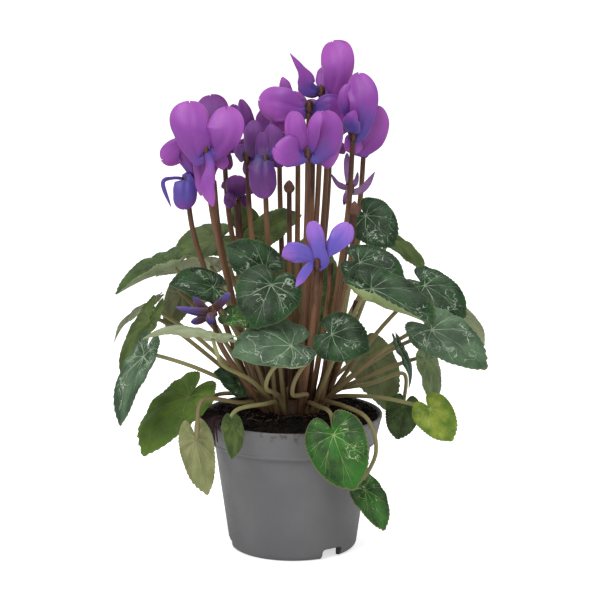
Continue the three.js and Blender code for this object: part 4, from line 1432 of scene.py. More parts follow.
COATS = {
    C.DARK: (LeafFace("#0e240d", "#1f431c", "#b4c4ae", "#98ad8e", vein_tone=0.75),
             LeafBack("#8f9b66", "#74834f", "#a5ad80")),
    # Painted sheen: a lighter, greyer face stands in for the soft reflection on these leaves.
    C.GREY: (LeafFace("#2a422a", "#4f694c", "#bac7b2", "#a3b49a", vein_tone=0.75),
             LeafBack("#a3ac80", "#869066", "#b3b992")),
    C.FRESH: (LeafFace("#163a12", "#2f6a1e", "#bdd09a", "#a9c07a", "#8d7a5c", margin_tone=0.6),
              LeafBack("#7d8e58", "#5f7142", "#9aa977")),
    C.YOUNG: (LeafFace("#55741f", "#8f9f38", "#b7c478", "#b9c681", "#8f8a4a", marbling=0.4, margin_tone=0.4),
              LeafBack("#7c9450", "#5d7a38", "#97a86b")),
    C.DULL: (LeafFace("#2c3d1c", "#48602f", "#8c9c6c", "#788c58", marbling=0.3, vein_tone=0.4),
             LeafBack("#96a27c", "#7a8860", "#a8b28e")),
    C.OLIVE: (LeafFace("#38481f", "#566732", "#84965f", "#8a9763", marbling=0.2, vein_tone=0.3),
              LeafBack("#6c7049", "#545a36", "#878b62")),
    C.PALE: (LeafFace("#55663f", "#76875b", "#98a67c", "#a9b48d", marbling=0.3, vein_tone=0.3),
             LeafBack("#b0b993", "#929c76", "#bfc7a4")),
    C.AGED: (LeafFace("#3f5a1c", "#5f7a2c", "#98a06c", "#a0a470", marbling=0.2, vein_tone=0.3),
             LeafBack("#919361", "#737a48", "#a3a275")),
}


@dataclass
class Foliage:
    """All the leaf blades, each with an upper face and a paler back."""

    leaves: Sequence[Leaf] = tuple(LEAVES)

    def build(self) -> list[Piece]:
        """Makes one piece for each leaf.

        Returns:
            The blades.
        """
        coats = {
            coat: (face.material(coat.value), back.material(f"{coat.value} back"))
            for coat, (face, back) in COATS.items()
        }
        pieces = []
        for leaf in self.leaves:
            blade = leaf.shape().build(f"blade_{leaf.name}", coats[leaf.coat])
            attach(blade, "root")
            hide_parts(f"leaf_{leaf.name}")
            pieces.append(blade)
        return pieces


# ---- blooms


@dataclass(frozen=True)
class PetalForm:
    """What all petals share: their mesh and bends, in shares of the half width unless said otherwise."""

    rows: int = 30
    columns: int = 17
    crowding: float = 1.5  # how much closer the rows stand at the tip
    thickness: float = 0.5  # in millimetres
    edge_taper: float = 0.55
    tip_taper: float = 0.5
    neck: float = 5.0  # the narrow start, in drawn steps
    stations: tuple[float, ...] = (0.0, 3 / 9, 5 / 9, 7 / 9, 1.0)
    fullness: float = 1.05
    tip_start: float = 0.78
    tip_span: float = 0.2201
    tip_curve: Band = (2.8, 0.44)
    lean: float = 0.22  # each petal's own twist, in radians
    cup: float = 0.25
    crease: float = 0.09
    crease_width: float = 0.16
    waver: float = 0.05
    ruffle: float = 0.07
    frill: float = 0.035
    notch: float = 0.13
    notch_width: float = 0.5
    nibble: float = 0.03
    fold_line: float = 0.25
    fold_bend: float = 2.6
    fold_round: float = 0.75
    fold_lift: float = 0.42


PETAL = PetalForm()


@dataclass(frozen=True)
class Petal:
    """One petal, drawn from the front: its line, its widths in steps, and its own bends.

    The turn is how far its broad side is turned from the front, in degrees. The twist turns its tip, the fold
    lays one side edge over (left when negative), and the curl bends its tip back (forward when negative).
    Blue is how much further up than usual its blue base reaches, or how much less when negative: partly the
    petal's own colour, partly painted shade on petals that hang low and on those that sit back.
    """

    root: Point
    belly: Point
    tip: Point
    widths: tuple[float, float, float, float]
    turn: float = 0.0
    twist: float = 0.0
    fold: float = 0.0
    curl: float = 0.0
    blue: float = 0.0
    form: PetalForm = PETAL

    def half_widths(self, t: Array) -> Array:
        """Half the width along the petal: through its drawn widths, rounded off at the tip.

        Args:
            t: Shares of the way from root to tip.

        Returns:
            The half widths in millimetres.
        """
        form = self.form
        widths = np.array([min(form.neck, self.widths[0]), *self.widths]) * DRAWN.step / 2
        spans = np.searchsorted(form.stations, t, side="right").clip(1, 4)
        low, high = np.take(form.stations, spans - 1), np.take(form.stations, spans)
        part = (t - low) / (high - low)
        share = 0.5 * part + 0.5 * smooth_step(0, 1, part)
        eased = widths[spans - 1] + (widths[spans] - widths[spans - 1]) * share
        blunt, root = form.tip_curve
        end = (np.maximum(t - form.tip_start, 0) / form.tip_span) ** blunt
        return eased * np.maximum(1 - end, 0.0) ** root * form.fullness

    def spine(self, throat: Point, t: Array, seed: float) -> tuple[Array, Array, Array, Array]:
        """The petal's middle line and the way it faces.

        Args:
            throat: Where it grows from, as drawn.
            t: Shares of the way from root to tip.
            seed: The petal's own number.

        Returns:
            The stations, and at each the directions along, to the side and out of the face.
        """
        points = [DRAWN.place(spot) for spot in (throat, self.root, self.belly, self.tip)]
        fine = 400
        dense = spline(points, fine)
        line = np.stack([np.interp(t, np.linspace(0, 1, fine), dense[:, k]) for k in range(3)], 1)
        turn = math.radians(self.turn)
        facing = np.array([math.sin(turn), -math.cos(turn), 0.0])
        reach = float(np.linalg.norm(points[3] - points[0]))
        line = line - facing * (self.curl * reach * smooth_step(0.5, 1.0, t) ** 1.4)[:, None]
        tangent = unit(np.gradient(line, axis=0))
        side = unit(np.cross(tangent, facing))
        normal = unit(np.cross(side, tangent))
        lean = (np.radians(self.twist) * t + self.form.lean * np.sin(3 * seed) * t)[:, None]
        cos, sin = np.cos(lean), np.sin(lean)
        return line, tangent, side * cos + normal * sin, normal * cos - side * sin

    def folded(self, t: Array, v: Array) -> tuple[Array, Array]:
        """Where the fold lays the petal's width.

        Args:
            t: Shares of the way from root to tip.
            v: Places across, from -1 to 1.

        Returns:
            The places across after the fold, and how high the folded edge stands.
        """
        if not self.fold:
            return v + 0 * t, 0 * v * t
        form, toward = self.form, np.sign(self.fold)
        past = np.maximum(v * toward - form.fold_line, 0) * smooth_step(0.15, 0.5, t)
        bend = abs(self.fold) * form.fold_bend * past + 1e-6
        drawn_in = past - np.sin(bend * form.fold_round) / (bend / form.fold_round + 1e-6)
        return v - toward * np.maximum(drawn_in, 0), (1 - np.cos(bend)) * form.fold_lift

    def sheet(self, throat: Point, t: Array, v: Array, seed: float) -> tuple[Array, Array]:
        """The petal's middle surface: a cupped sheet with a crease, a soft ruffle and a notched tip.

        Args:
            throat: Where it grows from, as drawn.
            t: Shares of the way from root to tip, one for each row.
            v: Places across, from -1 to 1, one for each column.
            seed: The petal's own number.

        Returns:
            The points by row and column, and the directions out of the face there.
        """
        form = self.form
        line, tangent, side, normal = self.spine(throat, t, seed)
        half = self.half_widths(t)[:, None]
        t, v = t[:, None], v[None]
        across, lift = self.folded(t, v)
        across = across * (1 + form.waver * np.sin(6.5 * t + seed + 1.7 * v))
        crease = form.crease * np.exp(-((v / form.crease_width) ** 2)) * (1 - t**2)
        ruffle = form.ruffle * np.sin(3.4 * v + 5 * t + seed) * v**2
        ruffle = ruffle + form.frill * np.sin(9 * v + 7 * t + 2 * seed) * v**4
        depth = half * (lift - form.cup * v**2 - crease + ruffle * smooth_step(0.2, 0.7, t) * 2)
        notch = form.notch * np.exp(-(((v - 0.35 * np.sin(seed)) / form.notch_width) ** 2))
        notch = half.max() * (notch + form.nibble * np.sin(5 * v + seed))
        along = -notch * smooth_step(0.7, 1.0, t) ** 2
        middle = line[:, None] + side[:, None] * (across * half)[..., None]
        middle = middle + normal[:, None] * depth[..., None] + tangent[:, None] * along[..., None]
        outward = unit(np.cross(np.gradient(middle, axis=1), np.gradient(middle, axis=0)))
        if np.sum(outward * normal[:, None]) < 0:
            outward = -outward
        return middle, outward

    def add_to(self, shape: Shape, throat: Point, number: int) -> None:
        """Adds the petal to its flower as a closed thin body.

        Args:
            shape: The flower's mesh.
            throat: Where it grows from, as drawn.
            number: Its number in the flower.
        """
        form = self.form
        seed = (throat[0] * 0.31 + throat[1] * 0.17 + number * 1.37) % 5.0
        t = 1 - (1 - np.linspace(0, 1, form.rows)) ** form.crowding
        v = np.linspace(-1, 1, form.columns)
        middle, outward = self.sheet(throat, t, v, seed)
        t, v = t[:, None], v[None]
        half_thick = form.thickness / 2 * (1 - form.edge_taper * np.abs(v) ** 3) * (1 - form.tip_taper * t**4)
        n = form.rows * form.columns
        sheets = [(middle + s * outward * half_thick[..., None]).reshape(-1, 3) for s in (1, -1)]
        front = grid_faces(form.rows, form.columns)
        grid = np.arange(n).reshape(form.rows, form.columns)
        loop = np.concatenate([grid[0], grid[1:, -1], grid[-1, -2::-1], grid[-2:0:-1, 0]])
        plane = np.tile(np.stack(np.broadcast_arrays(v, t), -1).reshape(-1, 2), (2, 1))
        shape.add(np.vstack(sheets), thin_faces(front, loop, n), 0, plane, (self.blue, seed))


@dataclass(frozen=True)
class Calyx:
    """The parts under the petals, in millimetres from the throat's middle."""

    ends: Band = (-0.5, 0.36)  # the throat's ends, as shares of its height
    swell: tuple[float, ...] = (0.5, 0.8, 0.82, 0.76, 0.7, 0.66, 0.6, 0.55, 0.45, 0.2)
    ribs: float = 0.07
    hook_foot: tuple[Point, ...] = ((0, 0, -3.6), (0.2, -1.9, -2.2), (0.3, -2.5, 0.4))
    hook_top: tuple[Point, ...] = ((0, -1.5, 2.6), (0, 0.2, 2.9))
    hook_radii: Band = (1.05, 0.95)
    sepals: int = 5
    sepal_foot: float = 2.4
    sepal_way: tuple[Band, ...] = ((0.3, 0.0), (1.7, -0.5), (2.7, -2.8))  # out from the axis, and up
    sepal_width: float = 0.85

    def add_to(self, shape: Shape, throat: Point) -> None:
        """Adds the short dark tube that the petals grow from, the bent end of the stalk, and the sepals.

        Args:
            shape: The flower's mesh.
            throat: The throat's middle, as drawn.
        """
        centre = DRAWN.place(throat)
        stations = len(self.swell)
        line = centre + np.linspace(*self.ends, stations)[:, None] * np.array([0.0, 0.0, THROAT_HEIGHT])
        points, faces, marks = tube(line, THROAT_RADIUS * np.array(self.swell), 24)
        ribs = 1 + self.ribs * np.cos(10 * np.pi * marks[:, :1])
        points = np.hstack([centre[:2] + (points[:, :2] - centre[:2]) * ribs, points[:, 2:]])
        shape.add(points, faces, 1, marks, (0.0, throat[0] % 3))
        hook = spline([centre + spot for spot in self.hook_foot + self.hook_top], 20)
        shape.add_tube(hook, np.linspace(*self.hook_radii, 20), 12, 3, throat[1] % 4)
        for i in range(self.sepals):
            turn = 2 * np.pi * (i / self.sepals) + throat[0]
            out = np.array([math.cos(turn), math.sin(turn), 0.0])
            foot = centre + [0, 0, self.sepal_foot]
            way = spline([foot + out * far + [0, 0, up] for far, up in self.sepal_way], 8)
            width = self.sepal_width * np.sin(np.linspace(0.9, 3.1, 8)) ** 0.8 + 0.05
            shape.add_tube(way, width, 8, 2, 0.5 + i)


@dataclass(frozen=True)
class Bloom:
    """One flower: where its petals meet as drawn, its petals, whether they take the darker skin of painted
    shade, and whether they are withered.
    """

    name: str
    throat: Point
    petals: tuple[Petal, ...]
    tone: Tone = Tone.PETAL
    # A bloom that sits back among the others takes the darker petal skin: painted shade.
    darker: bool = False
    withered: bool = False
    calyx: Calyx = Calyx()

    def centre(self) -> Array:
        """The middle of the throat, in millimetres."""
        return DRAWN.place(self.throat)

    def shape(self) -> Shape:
        """The whole flower.

        Returns:
            Its mesh: the petals first, then the throat, the hook and the sepals.
        """
        made = Shape()
        for number, petal in enumerate(self.petals):
            petal.add_to(made, self.throat, number)
        self.calyx.add_to(made, self.throat)
        return made


P = Petal

BLOOMS = [
    Bloom("left_front", (206, 148, -24), (
        P((199, 157, -25), (192, 130, -31), (189, 101, -27), (20, 33, 37, 37), -8, twist=-12.0, curl=0.1,
          blue=-0.08),
        P((216, 151, -25), (227, 132, -31), (227, 107, -29), (20, 35, 38, 29), 10, fold=0.3, curl=0.12,
          blue=-0.08),
        P((210, 166, -33), (208, 188, -37), (213, 207, -37), (8, 13, 12, 5), blue=-0.08),
        P((214, 152, -21), (221, 161, -20), (223, 170, -20), (13, 15, 13, 6), blue=-0.08),
        P((201, 158, -18), (202, 176, -14), (201, 196, -14), (14, 15, 13, 6), blue=-0.08),
    )),
    Bloom("left_side", (186, 179, -4), (
        P((196, 174, -6), (182, 149, -12), (161, 160, -12), (16, 24, 26, 26), fold=0.4, blue=0.1),
        P((186, 181, -9), (185, 195, -12), (184, 210, -10), (20, 23, 22, 19), blue=0.75),
        P((173, 178, -6), (163, 183, -9), (171, 207, -9), (3, 4, 4, 2), blue=0.9),
        P((194, 178, -2), (194, 166, 3), (191, 151, 5), (12, 13, 12, 9)),
        P((187, 182, -1), (188, 192, 3), (189, 203, 4), (6, 10, 10, 6), blue=0.6),
    )),
    Bloom("left_back", (224, 150, 22), (
        P((218, 142, 20), (213, 120, 18), (210, 95, 18), (17, 28, 33, 29), curl=0.1),
        P((228, 146, 22), (233, 126, 24), (234, 104, 24), (14, 17, 18, 13)),
        P((218, 156, 24), (210, 170, 25), (206, 190, 24), (11, 14, 13, 6)),
        P((226, 152, 26), (228, 162, 28), (229, 170, 28), (7, 9, 8, 5)),
        P((230, 150, 26), (240, 146, 30), (248, 138, 32), (7, 10, 10, 6)),
    ), darker=True),
    Bloom("mid_left", (247, 156, 4), (
        P((252, 144, 4), (247, 120, 2), (241, 99, 2), (13, 14, 13, 8)),
        P((257, 160, -1), (255, 140, -5), (254, 120, -3), (17, 22, 21, 16), fold=0.3),
        P((243, 154, 6), (239, 152, 9), (234, 150, 11), (16, 17, 13, 8)),
        P((258, 158, 8), (268, 142, 11), (274, 124, 13), (11, 14, 13, 9)),
        P((250, 160, 8), (247, 168, 12), (246, 176, 13), (7, 10, 9, 5)),
    ), darker=True),
    Bloom("mid", (265, 160, -20), (
        P((264, 160, -23), (264, 179, -27), (265, 199, -25), (18, 28, 28, 21), fold=-0.3, blue=0.2),
        P((263, 156, -19), (262, 146, -17), (262, 132, -17), (13, 14, 12, 9)),
        P((270, 153, -18), (273, 139, -16), (271, 124, -14), (13, 17, 17, 11)),
        P((272, 160, -16), (279, 163, -14), (286, 164, -13), (8, 11, 10, 6)),
        P((262, 162, -14), (254, 166, -11), (248, 168, -9), (7, 9, 8, 4)),
    ), darker=True),
    Bloom("centre_back", (309, 106, -8), (
        P((299, 108, -9), (278, 102, -10), (258, 100, -6), (21, 36, 36, 31), fold=0.3, curl=0.1, blue=-0.1),
        P((292, 102, -1), (286, 89, 1), (282, 77, 3), (8, 11, 11, 5), blue=-0.1),
        P((302, 112, -6), (297, 101, -5), (296, 91, -3), (15, 18, 17, 13), blue=-0.1),
        P((315, 112, -6), (331, 104, -10), (346, 124, -8), (15, 19, 20, 14), curl=0.15, blue=0.35),
        P((299, 114, -3), (283, 122, 2), (269, 133, 5), (17, 19, 18, 9), blue=-0.1),
    )),
    Bloom("centre_front", (308, 152, -40), (
        P((301, 157, -43), (288, 153, -47), (274, 147, -45), (14, 32, 31, 22), fold=-0.4, curl=-0.08,
          blue=0.12),
        P((300, 152, -41), (296, 133, -45), (294, 111, -43), (18, 22, 20, 17), blue=0.12),
        P((317, 156, -42), (328, 136, -46), (325, 111, -46), (16, 30, 30, 24), fold=-0.35, curl=0.1,
          blue=0.12),
        P((312, 146, -46), (314, 127, -52), (319, 111, -50), (8, 13, 13, 9), -20),
        P((319, 155, -36), (330, 155, -36), (340, 153, -34), (14, 26, 24, 15), curl=0.15, blue=-0.2),
    )),
    Bloom("top", (321, 91, -4), (
        P((331, 94, -7), (337, 68, -13), (333, 41, -11), (17, 28, 33, 32), twist=14.0, curl=0.1, blue=-0.05),
        P((309, 88, -9), (304, 74, -11), (290, 53, -11), (17, 16, 7, 2), blue=0.25),
        P((312, 93, -2), (305, 88, 0), (299, 85, 0), (10, 14, 14, 10)),
        P((325, 97, 0), (331, 103, 2), (336, 110, 3), (11, 13, 12, 6)),
        P((321, 86, 0), (322, 76, 4), (324, 66, 5), (7, 11, 11, 6)),
    )),
    Bloom("back", (328, 112, 28), (
        P((328, 106, 26), (327, 96, 24), (326, 86, 24), (14, 17, 16, 11)),
        P((334, 112, 28), (342, 106, 30), (350, 100, 31), (13, 14, 12, 8)),
        P((322, 112, 28), (314, 106, 31), (306, 101, 32), (11, 14, 12, 8)),
        P((330, 118, 30), (334, 126, 33), (338, 134, 34), (7, 11, 10, 6)),
        P((324, 118, 30), (320, 127, 33), (317, 136, 34), (7, 11, 10, 6)),
    ), darker=True),
    Bloom("right", (353, 134, -20), (
        P((359, 133, -22), (365, 103, -29), (359, 73, -27), (17, 27, 31, 26), fold=0.3, curl=0.12, blue=0.3),
        P((349, 118, -22), (345, 101, -25), (349, 84, -23), (8, 13, 12, 9), blue=0.3),
        P((352, 131, -26), (351, 121, -31), (355, 110, -31), (15, 17, 12, 5), -10, blue=0.6),
        P((361, 149, -14), (373, 132, -18), (378, 105, -18), (17, 27, 26, 19), 10, twist=18.0),
        P((352, 139, -17), (354, 146, -17), (355, 154, -17), (13, 17, 17, 12)),
    )),
    Bloom("right_back", (364, 142, 12), (
        P((364, 136, 10), (367, 122, 8), (369, 108, 8), (13, 16, 16, 10)),
        P((358, 138, 12), (352, 126, 12), (350, 112, 13), (11, 13, 12, 6)),
        P((369, 144, 14), (374, 140, 16), (378, 134, 17), (6, 9, 8, 4)),
        P((358, 146, 14), (354, 151, 16), (350, 154, 17), (6, 8, 7, 4)),
        P((365, 146, 16), (366, 152, 19), (366, 158, 20), (6, 8, 7, 4)),
    ), darker=True),
    Bloom("mid_low", (238, 193, 26), (
        P((238, 196, 20), (237, 186, 15), (237, 175, 15), (14, 22, 23, 17)),
        P((245, 191, 23), (251, 191, 22), (257, 191, 22), (6, 7, 5, 2)),
        P((233, 193, 17), (230, 200, 12), (229, 209, 12), (8, 13, 12, 6)),
        P((232, 188, 28), (226, 186, 30), (221, 187, 30), (6, 9, 9, 4)),
        P((242, 196, 28), (246, 203, 30), (249, 208, 31), (6, 8, 8, 4)),
    ), darker=True),
    Bloom("far_left", (279, 140, 48), (
        P((274, 134, 50), (268, 122, 51), (264, 108, 51), (14, 22, 22, 13), 180),
        P((285, 134, 50), (290, 122, 51), (294, 110, 51), (14, 22, 22, 13), 180),
        P((279, 134, 54), (279, 124, 57), (279, 114, 57), (14, 19, 18, 11), 180),
        P((274, 146, 51), (270, 153, 54), (267, 160, 54), (7, 11, 10, 5), 180),
        P((284, 146, 51), (288, 153, 54), (291, 160, 54), (7, 11, 10, 5), 180),
    ), darker=True),
    Bloom("far_right", (330, 136, 46), (
        P((325, 131, 48), (319, 120, 49), (315, 108, 49), (14, 22, 22, 13), 180),
        P((336, 131, 48), (342, 120, 49), (347, 108, 49), (14, 22, 22, 13), 180),
        P((330, 130, 52), (330, 120, 55), (330, 110, 55), (14, 19, 18, 11), 180),
        P((325, 142, 49), (320, 149, 52), (316, 156, 52), (7, 11, 10, 5), 180),
        P((335, 142, 49), (340, 148, 52), (344, 154, 52), (7, 11, 10, 5), 180),
    ), darker=True),
    Bloom("small_front", (317, 263, -64), (
        P((313, 260, -66), (298, 254, -70), (282, 255, -68), (5, 18, 21, 14), twist=12.0, blue=0.1),
        P((319, 262, -65), (317, 242, -69), (312, 221, -67), (19, 14, 16, 14)),
        P((325, 257, -64), (338, 241, -66), (350, 224, -64), (5, 15, 21, 17), curl=0.1),
        P((312, 264, -67), (304, 275, -69), (296, 287, -69), (6, 9, 8, 3)),
        P((322, 260, -61), (328, 254, -59), (334, 249, -59), (5, 7, 6, 3)),
    ), T.BLUE),
    Bloom("spent_left", (213, 311, -52), (
        P((206, 313, -53), (192, 311, -55), (176, 307, -55), (9, 8, 6, 2), blue=0.25),
        P((206, 310, -51), (199, 303, -52), (193, 297, -52), (8, 8, 6, 3), blue=0.45),
        P((216, 308, -53), (224, 300, -55), (230, 293, -55), (8, 8, 7, 5), blue=0.4),
        P((206, 317, -53), (198, 321, -54), (191, 322, -54), (7, 8, 7, 4), blue=0.5),
        P((213, 313, -56), (211, 319, -59), (210, 325, -59), (7, 9, 8, 5), blue=0.5),
    ), T.BLUE, withered=True),
    Bloom("star", (350, 188, -12), (
        P((347, 188, -13), (338, 184, -14), (331, 174, -14), (5, 6, 4, 2)),
        P((352, 186, -12), (356, 181, -12), (358, 172, -12), (5, 6, 4, 2)),
        P((354, 192, -13), (365, 187, -14), (375, 172, -14), (6, 7, 6, 2)),
        P((348, 192, -14), (346, 198, -15), (344, 205, -15), (5, 6, 5, 3)),
        P((349, 184, -11), (347, 168, -10), (347, 153, -10), (5, 6, 6, 4)),
    ), T.SPENT),
]

# Stalks that end among the leaves, drawn the same way.
SPARE_TOPS = [
    (322, 250, 2), (331, 262, -14), (343, 276, -4), (356, 300, -10), (276, 305, -14), (262, 312, 8),
    (248, 318, -6), (238, 330, -16), (305, 282, 14), (214, 180, -12), (236, 204, 8), (298, 152, 4),
    (313, 148, 14),
]


@dataclass(frozen=True)
class Bud:
    """A closed bud: its place, its widest radius and its height."""

    name: str
    place: Point
    radius: float
    height: float
    ribs: int = 5
    rib_depth: float = 0.12
    rows: int = 22
    sides: int = 25

    def shape(self) -> Shape:
        """A furled bud: a twisted spindle with soft ribs.

        Returns:
            Its mesh.
        """
        share = np.linspace(0, 1, self.rows)
        turn = circle(self.sides)
        swell = self.radius * np.sin(np.pi * share**0.8) ** 0.7
        ribs = 1 + self.rib_depth * np.cos(self.ribs * turn[None] + 4 * share[:, None])
        z = self.place[2] + self.height * (share - 0.5)
        ring = rings((swell[:, None] * ribs)[1:-1], turn, z[1:-1, None])
        ring[..., :2] += self.place[:2]
        ends = [[*self.place[:2], z[0]], [*self.place[:2], z[-1]]]
        points, faces = np.vstack([ring.reshape(-1, 3), ends]), capped_faces(self.rows - 2, self.sides)
        made = Shape()
        made.add(points, faces, 0, ring_marks(turn, share[1:-1]), (0.0, 0.7))
        return made


BUDS = [Bud("bud_right", (35, -24, 204), 2.6, 9.0), Bud("bud_dark", (-2, 0, 213), 3.0, 8.0)]


@dataclass
class Flowers:
    """All the blooms and buds, with the skins that they are dressed in."""

    blooms: Sequence[Bloom] = tuple(BLOOMS)
    buds: Sequence[Bud] = tuple(BUDS)
    violet: PetalSkin = PetalSkin("violet petal", "#4f3f9a", "#803698", "#9d4dad", "#562882")
    blue: PetalSkin = PetalSkin("blue petal", "#453a9c", "#6050b4", "#9a66c8", "#3a3090")
    faded: PetalSkin = PetalSkin("faded petal", "#b7a5b4", "#86609a", "#4a2262", "#5a3a5c")
    # A darker copy of the violet skin: painted shade for blooms that sit back among the others.
    darker: PetalSkin = PetalSkin("deep petal", "#31286f", "#572570", "#743a8c", "#3a1a5e")
    withered: PetalSkin = PetalSkin("withered petal", "#4a2f2c", "#4a3a86", "#8a7fcc", "#2c1c30")
    throat: StemSkin = StemSkin("flower tube", "#2c1220", "#47203a", "#5a2c52")
    sepal: StemSkin = StemSkin("sepal", "#4a2c22", "#4c3022", "#3d2424", 0.55)
    hook: StemSkin = StemSkin("flower hook", "#5f3d2b", "#5a3728", "#4a2a24", 0.5)
    bud: StemSkin = StemSkin("bud skin", "#6b4a3c", "#5a3b33", "#7a4a55", 0.5)

    def build(self) -> list[Piece]:
        """Makes one piece for each bloom and bud.

        Returns:
            The blooms and the buds.
        """
        fresh = {T.PETAL: self.violet, T.BLUE: self.blue, T.SPENT: self.faded}
        made = {tone: skin.material() for tone, skin in fresh.items()}
        # The darker skin paints the shade on blooms that sit back.
        darker, withered = self.darker.material(), self.withered.material()
        under = [skin.material() for skin in (self.throat, self.sepal, self.hook)]
        pieces = []
        for bloom in self.blooms:
            skin = withered if bloom.withered else darker if bloom.darker else made[bloom.tone]
            piece = bloom.shape().build(f"petals_{bloom.name}", [skin, *under])
            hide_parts(f"bloom_{bloom.name}")
            pieces.append(piece)
        bud_skin = self.bud.material()
        for bud in self.buds:
            piece = bud.shape().build(f"{bud.name}_tip", [bud_skin])
            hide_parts(bud.name)
            pieces.append(piece)
        for piece in pieces:
            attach(piece, "root")
        return pieces


# ---- stalks and tuber


@dataclass
class Crown:
    """The half-sunk tuber with every flower stalk and leaf stalk that grows from it."""

    flower_sides: int = 14
    flower_stations: int = 48
    flower_taper: Band = (1.1, 0.9)
    crowd: float = 0.42  # how far out a stalk starts, as a share of how far out its top is
    leaf_sides: int = 12
    leaf_taper: Band = (1.15, 0.85)
    tuber_rows: int = 26
    tuber_sides: int = 64
    lumps: Band = (0.05, 0.03)
    inset: float = 0.2
    # The flower stalks' dark root colour is painted shade low down, where they crowd at the crown. It also
    # darkens some stalks and their streaks at random. The tan middle and the dark brown top are their own
    # colour.
    flower_stalk: StemSkin = StemSkin("flower stalk", "#4b3224", "#8a6446", "#482a1e")
    leaf_stalk: StemSkin = StemSkin("leaf stalk", "#6a4c37", "#8f8a5c", "#979c68")
    tuber_skin: StemSkin = StemSkin("tuber skin", "#3b2a20", "#4b3527", "#5a4232", 0.8)

    def flower_line(self, top: Array, height: float) -> Array:
        """Where a flower's stalk runs: up from the crown, upright again under its top.

        Args:
            top: The middle of what the stalk carries.
            height: Its height.

        Returns:
            The stations of its line.
        """
        end = np.asarray(top, float) + [0, 0, -height / 2 - AIR]
        spread = np.array([top[0] * self.crowd, top[1] * self.crowd, 0.0])
        reach = np.linalg.norm(spread)
        spread = spread * min(1.0, TUBER_RADIUS * 0.8 / max(reach, 1e-6))
        root = spread + [0, 0, TUBER_TOP - ROOT_DEPTH]
        lean = end - root
        low = root + lean * [0.36, 0.36, 0.3]
        high = root + lean * [0.86, 0.86, 0.74]
        return spline([root, low, high, end], self.flower_stations)

    def flower_stalks(self) -> Shape:
        """The stalks of the blooms and buds, and those that end among the leaves.

        Returns:
            Their mesh.
        """
        tops = [(bloom.centre(), THROAT_HEIGHT) for bloom in BLOOMS]
        tops += [(bud.place, 0.5 * bud.height) for bud in BUDS]
        tops += [(DRAWN.place(spot), 0.0) for spot in SPARE_TOPS]
        made = Shape()
        for i, (top, height) in enumerate(tops):
            line = self.flower_line(top, height)
            radii = FLOWER_STALK * np.linspace(*self.flower_taper, len(line))
            made.add_tube(line, radii, self.flower_sides, 0, 0.61 * i)
        return made

    def leaf_stalks(self) -> Shape:
        """One stalk to each leaf.

        Returns:
            Their mesh.
        """
        made = Shape()
        for i, leaf in enumerate(LEAVES):
            line = leaf.stalk_line()
            radii = LEAF_STALK * np.linspace(*self.leaf_taper, len(line))
            made.add_tube(line, radii, self.leaf_sides, 0, 0.43 * i)
        return made

    def tuber(self) -> Shape:
        """The lumpy tuber, a little inside its solid.

        Returns:
            Its mesh.
        """
        rise = np.linspace(-np.pi / 2, np.pi / 2, self.tuber_rows)[1:-1, None]
        turn = circle(self.tuber_sides)
        broad, fine = self.lumps
        lump = 1 - broad * np.abs(np.sin(5 * turn[None] + 2 * rise)) - fine * np.sin(9 * turn[None])
        radius = (TUBER_RADIUS - self.inset) * np.cos(rise) * lump
        z = TUBER_TOP - TUBER_HALF + (TUBER_HALF - self.inset) * np.sin(rise) * lump
        ends = [[0, 0, TUBER_TOP - 2 * TUBER_HALF + self.inset], [0, 0, TUBER_TOP - 0.4]]
        points = np.vstack([rings(radius, turn, z).reshape(-1, 3), ends])
        marks = np.stack([points[:, 0] / 20, (points[:, 2] - 60) / 30], 1)
        made = Shape()
        made.add(points, capped_faces(len(rise), self.tuber_sides), 0, marks, (0.0, 0.2))
        return made

    def build(self) -> list[Piece]:
        """Makes the tuber, the flower stalks and the leaf stalks.

        Returns:
            The three pieces.
        """
        made = [
            self.flower_stalks().build("flower_stalks", [self.flower_stalk.material()]),
            self.leaf_stalks().build("leaf_stalks", [self.leaf_stalk.material()]),
            self.tuber().build("tuber", [self.tuber_skin.material()]),
        ]
        for piece in made:
            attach(piece, "root")
            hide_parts("tuber_and_stalks")
        return made


# ---- floor, light and camera


@dataclass(frozen=True)
class Lamp:
    """A soft square light: its name, its place and its size in metres, and its power in watts."""

    name: str
    place: Point
    size: float
    power: float
    aim: Point = (0.0, 0.0, 0.15)

    def build(self) -> None:
        """Adds the light, turned to the plant."""
        data = bpy.data.lights.new(self.name, "AREA")
        data.size, data.energy = self.size, self.power
        light = bpy.data.objects.new(self.name, data)
        light.location = self.place
        aim = np.asarray(self.aim) - np.asarray(self.place)
        flat = math.hypot(aim[0], aim[1])
        light.rotation_euler = (math.atan2(flat, -aim[2]), 0.0, math.atan2(-aim[0], aim[1]))
        bpy.context.scene.collection.objects.link(light)


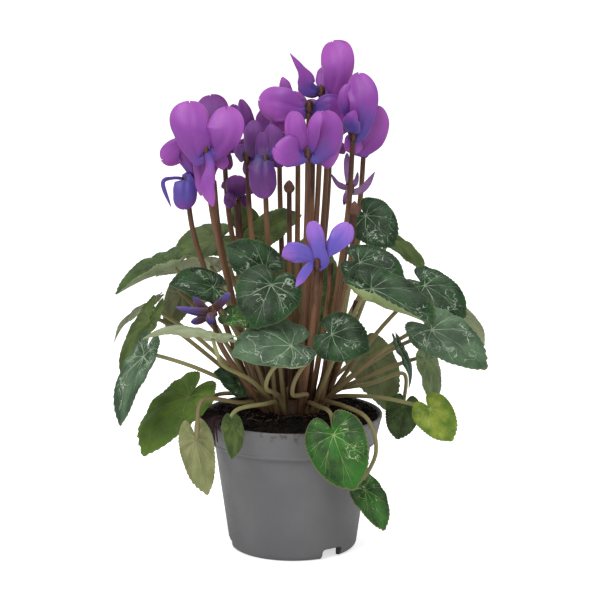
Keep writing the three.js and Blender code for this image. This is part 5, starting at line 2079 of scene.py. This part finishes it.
@dataclass
class Studio:
    """A pale floor, soft light from all round and a camera where the photograph was taken from."""

    eye: Point = (0.0042, -1.300, 0.3995)
    pitch: float = 0.192
    focal_pixels: float = 2283.9
    frame_pixels: float = 600.0
    sensor: float = 36.0
    floor_half: float = 15.0
    floor_tone: float = 0.9
    floor_glow: float = 0.62
    ambient: float = 0.5
    lamps: tuple[Lamp, ...] = (
        Lamp("key", (-0.8, -1.5, 1.9), 1.1, 30.0),
        Lamp("fill", (1.5, -1.2, 1.0), 1.2, 5.0),
        Lamp("top", (0.0, 0.3, 2.0), 1.6, 16.0),
    )

    def build(self) -> None:
        """Places the floor, the lights and the camera."""
        self.add_floor()
        for lamp in self.lamps:
            lamp.build()
        self.add_sky()
        self.add_camera()
        log.info("studio: floor, %d lights, camera", len(self.lamps))

    def add_sky(self) -> None:
        """White surroundings: dimmer as a light than as a backdrop."""
        world = bpy.data.worlds.new("studio")
        bpy.context.scene.world = world
        world.use_nodes = True
        sky = world.node_tree.nodes["Background"]
        air = Graph(world.node_tree)
        seen = air.add("LightPath").outputs["Is Camera Ray"]
        air.wire(sky, Color=tint("#ffffff"), Strength=air.step(seen, 0.0, 1.0, self.ambient, 1.0))
        bpy.context.scene.view_settings.view_transform = "Standard"

    def add_floor(self) -> None:
        """A plain pale floor."""
        h = self.floor_half
        mesh = bpy.data.meshes.new("floor")
        mesh.from_pydata([(-h, -h, 0), (h, -h, 0), (h, h, 0), (-h, h, 0)], [], [(0, 1, 2, 3)])
        floor = bpy.data.objects.new("floor", mesh)
        bpy.context.scene.collection.objects.link(floor)
        material, graph, shader = new_material("pale floor")
        seen = graph.add("LightPath").outputs["Is Camera Ray"]
        tone = (*[self.floor_tone] * 3, 1.0)
        graph.wire(shader, Base_Color=tone, Roughness=0.8, Emission_Color=tint("#ffffff"))
        graph.wire(shader, Emission_Strength=graph.times(seen, self.floor_glow))
        mesh.materials.append(material)

    def add_camera(self) -> None:
        """The camera, with a long lens, from a little above."""
        data = bpy.data.cameras.new("camera")
        data.sensor_width = self.sensor
        data.lens = self.focal_pixels / self.frame_pixels * data.sensor_width
        data.clip_start, data.clip_end = 0.05, 60.0
        camera = bpy.data.objects.new("camera", data)
        camera.location = self.eye
        camera.rotation_euler = (math.pi / 2 - self.pitch, 0.0, 0.0)
        bpy.context.scene.collection.objects.link(camera)
        bpy.context.scene.camera = camera


# ---- the whole plant


def main() -> None:
    """Builds every sub-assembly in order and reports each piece."""
    logging.basicConfig(level=logging.INFO, format="%(name)s: %(message)s")
    makers = (NurseryPot(), PeatBed(), Crown(), Foliage(), Flowers())
    made = [piece for maker in makers for piece in maker.build()]
    for piece in made:
        log.info("%s: %d faces", piece.name, len(piece.data.polygons))
    Studio().build()
    log.info("%d pieces, %d faces", len(made), sum(len(piece.data.polygons) for piece in made))
    bpy.context.view_layer.update()


if __name__ == "__main__":
    main()
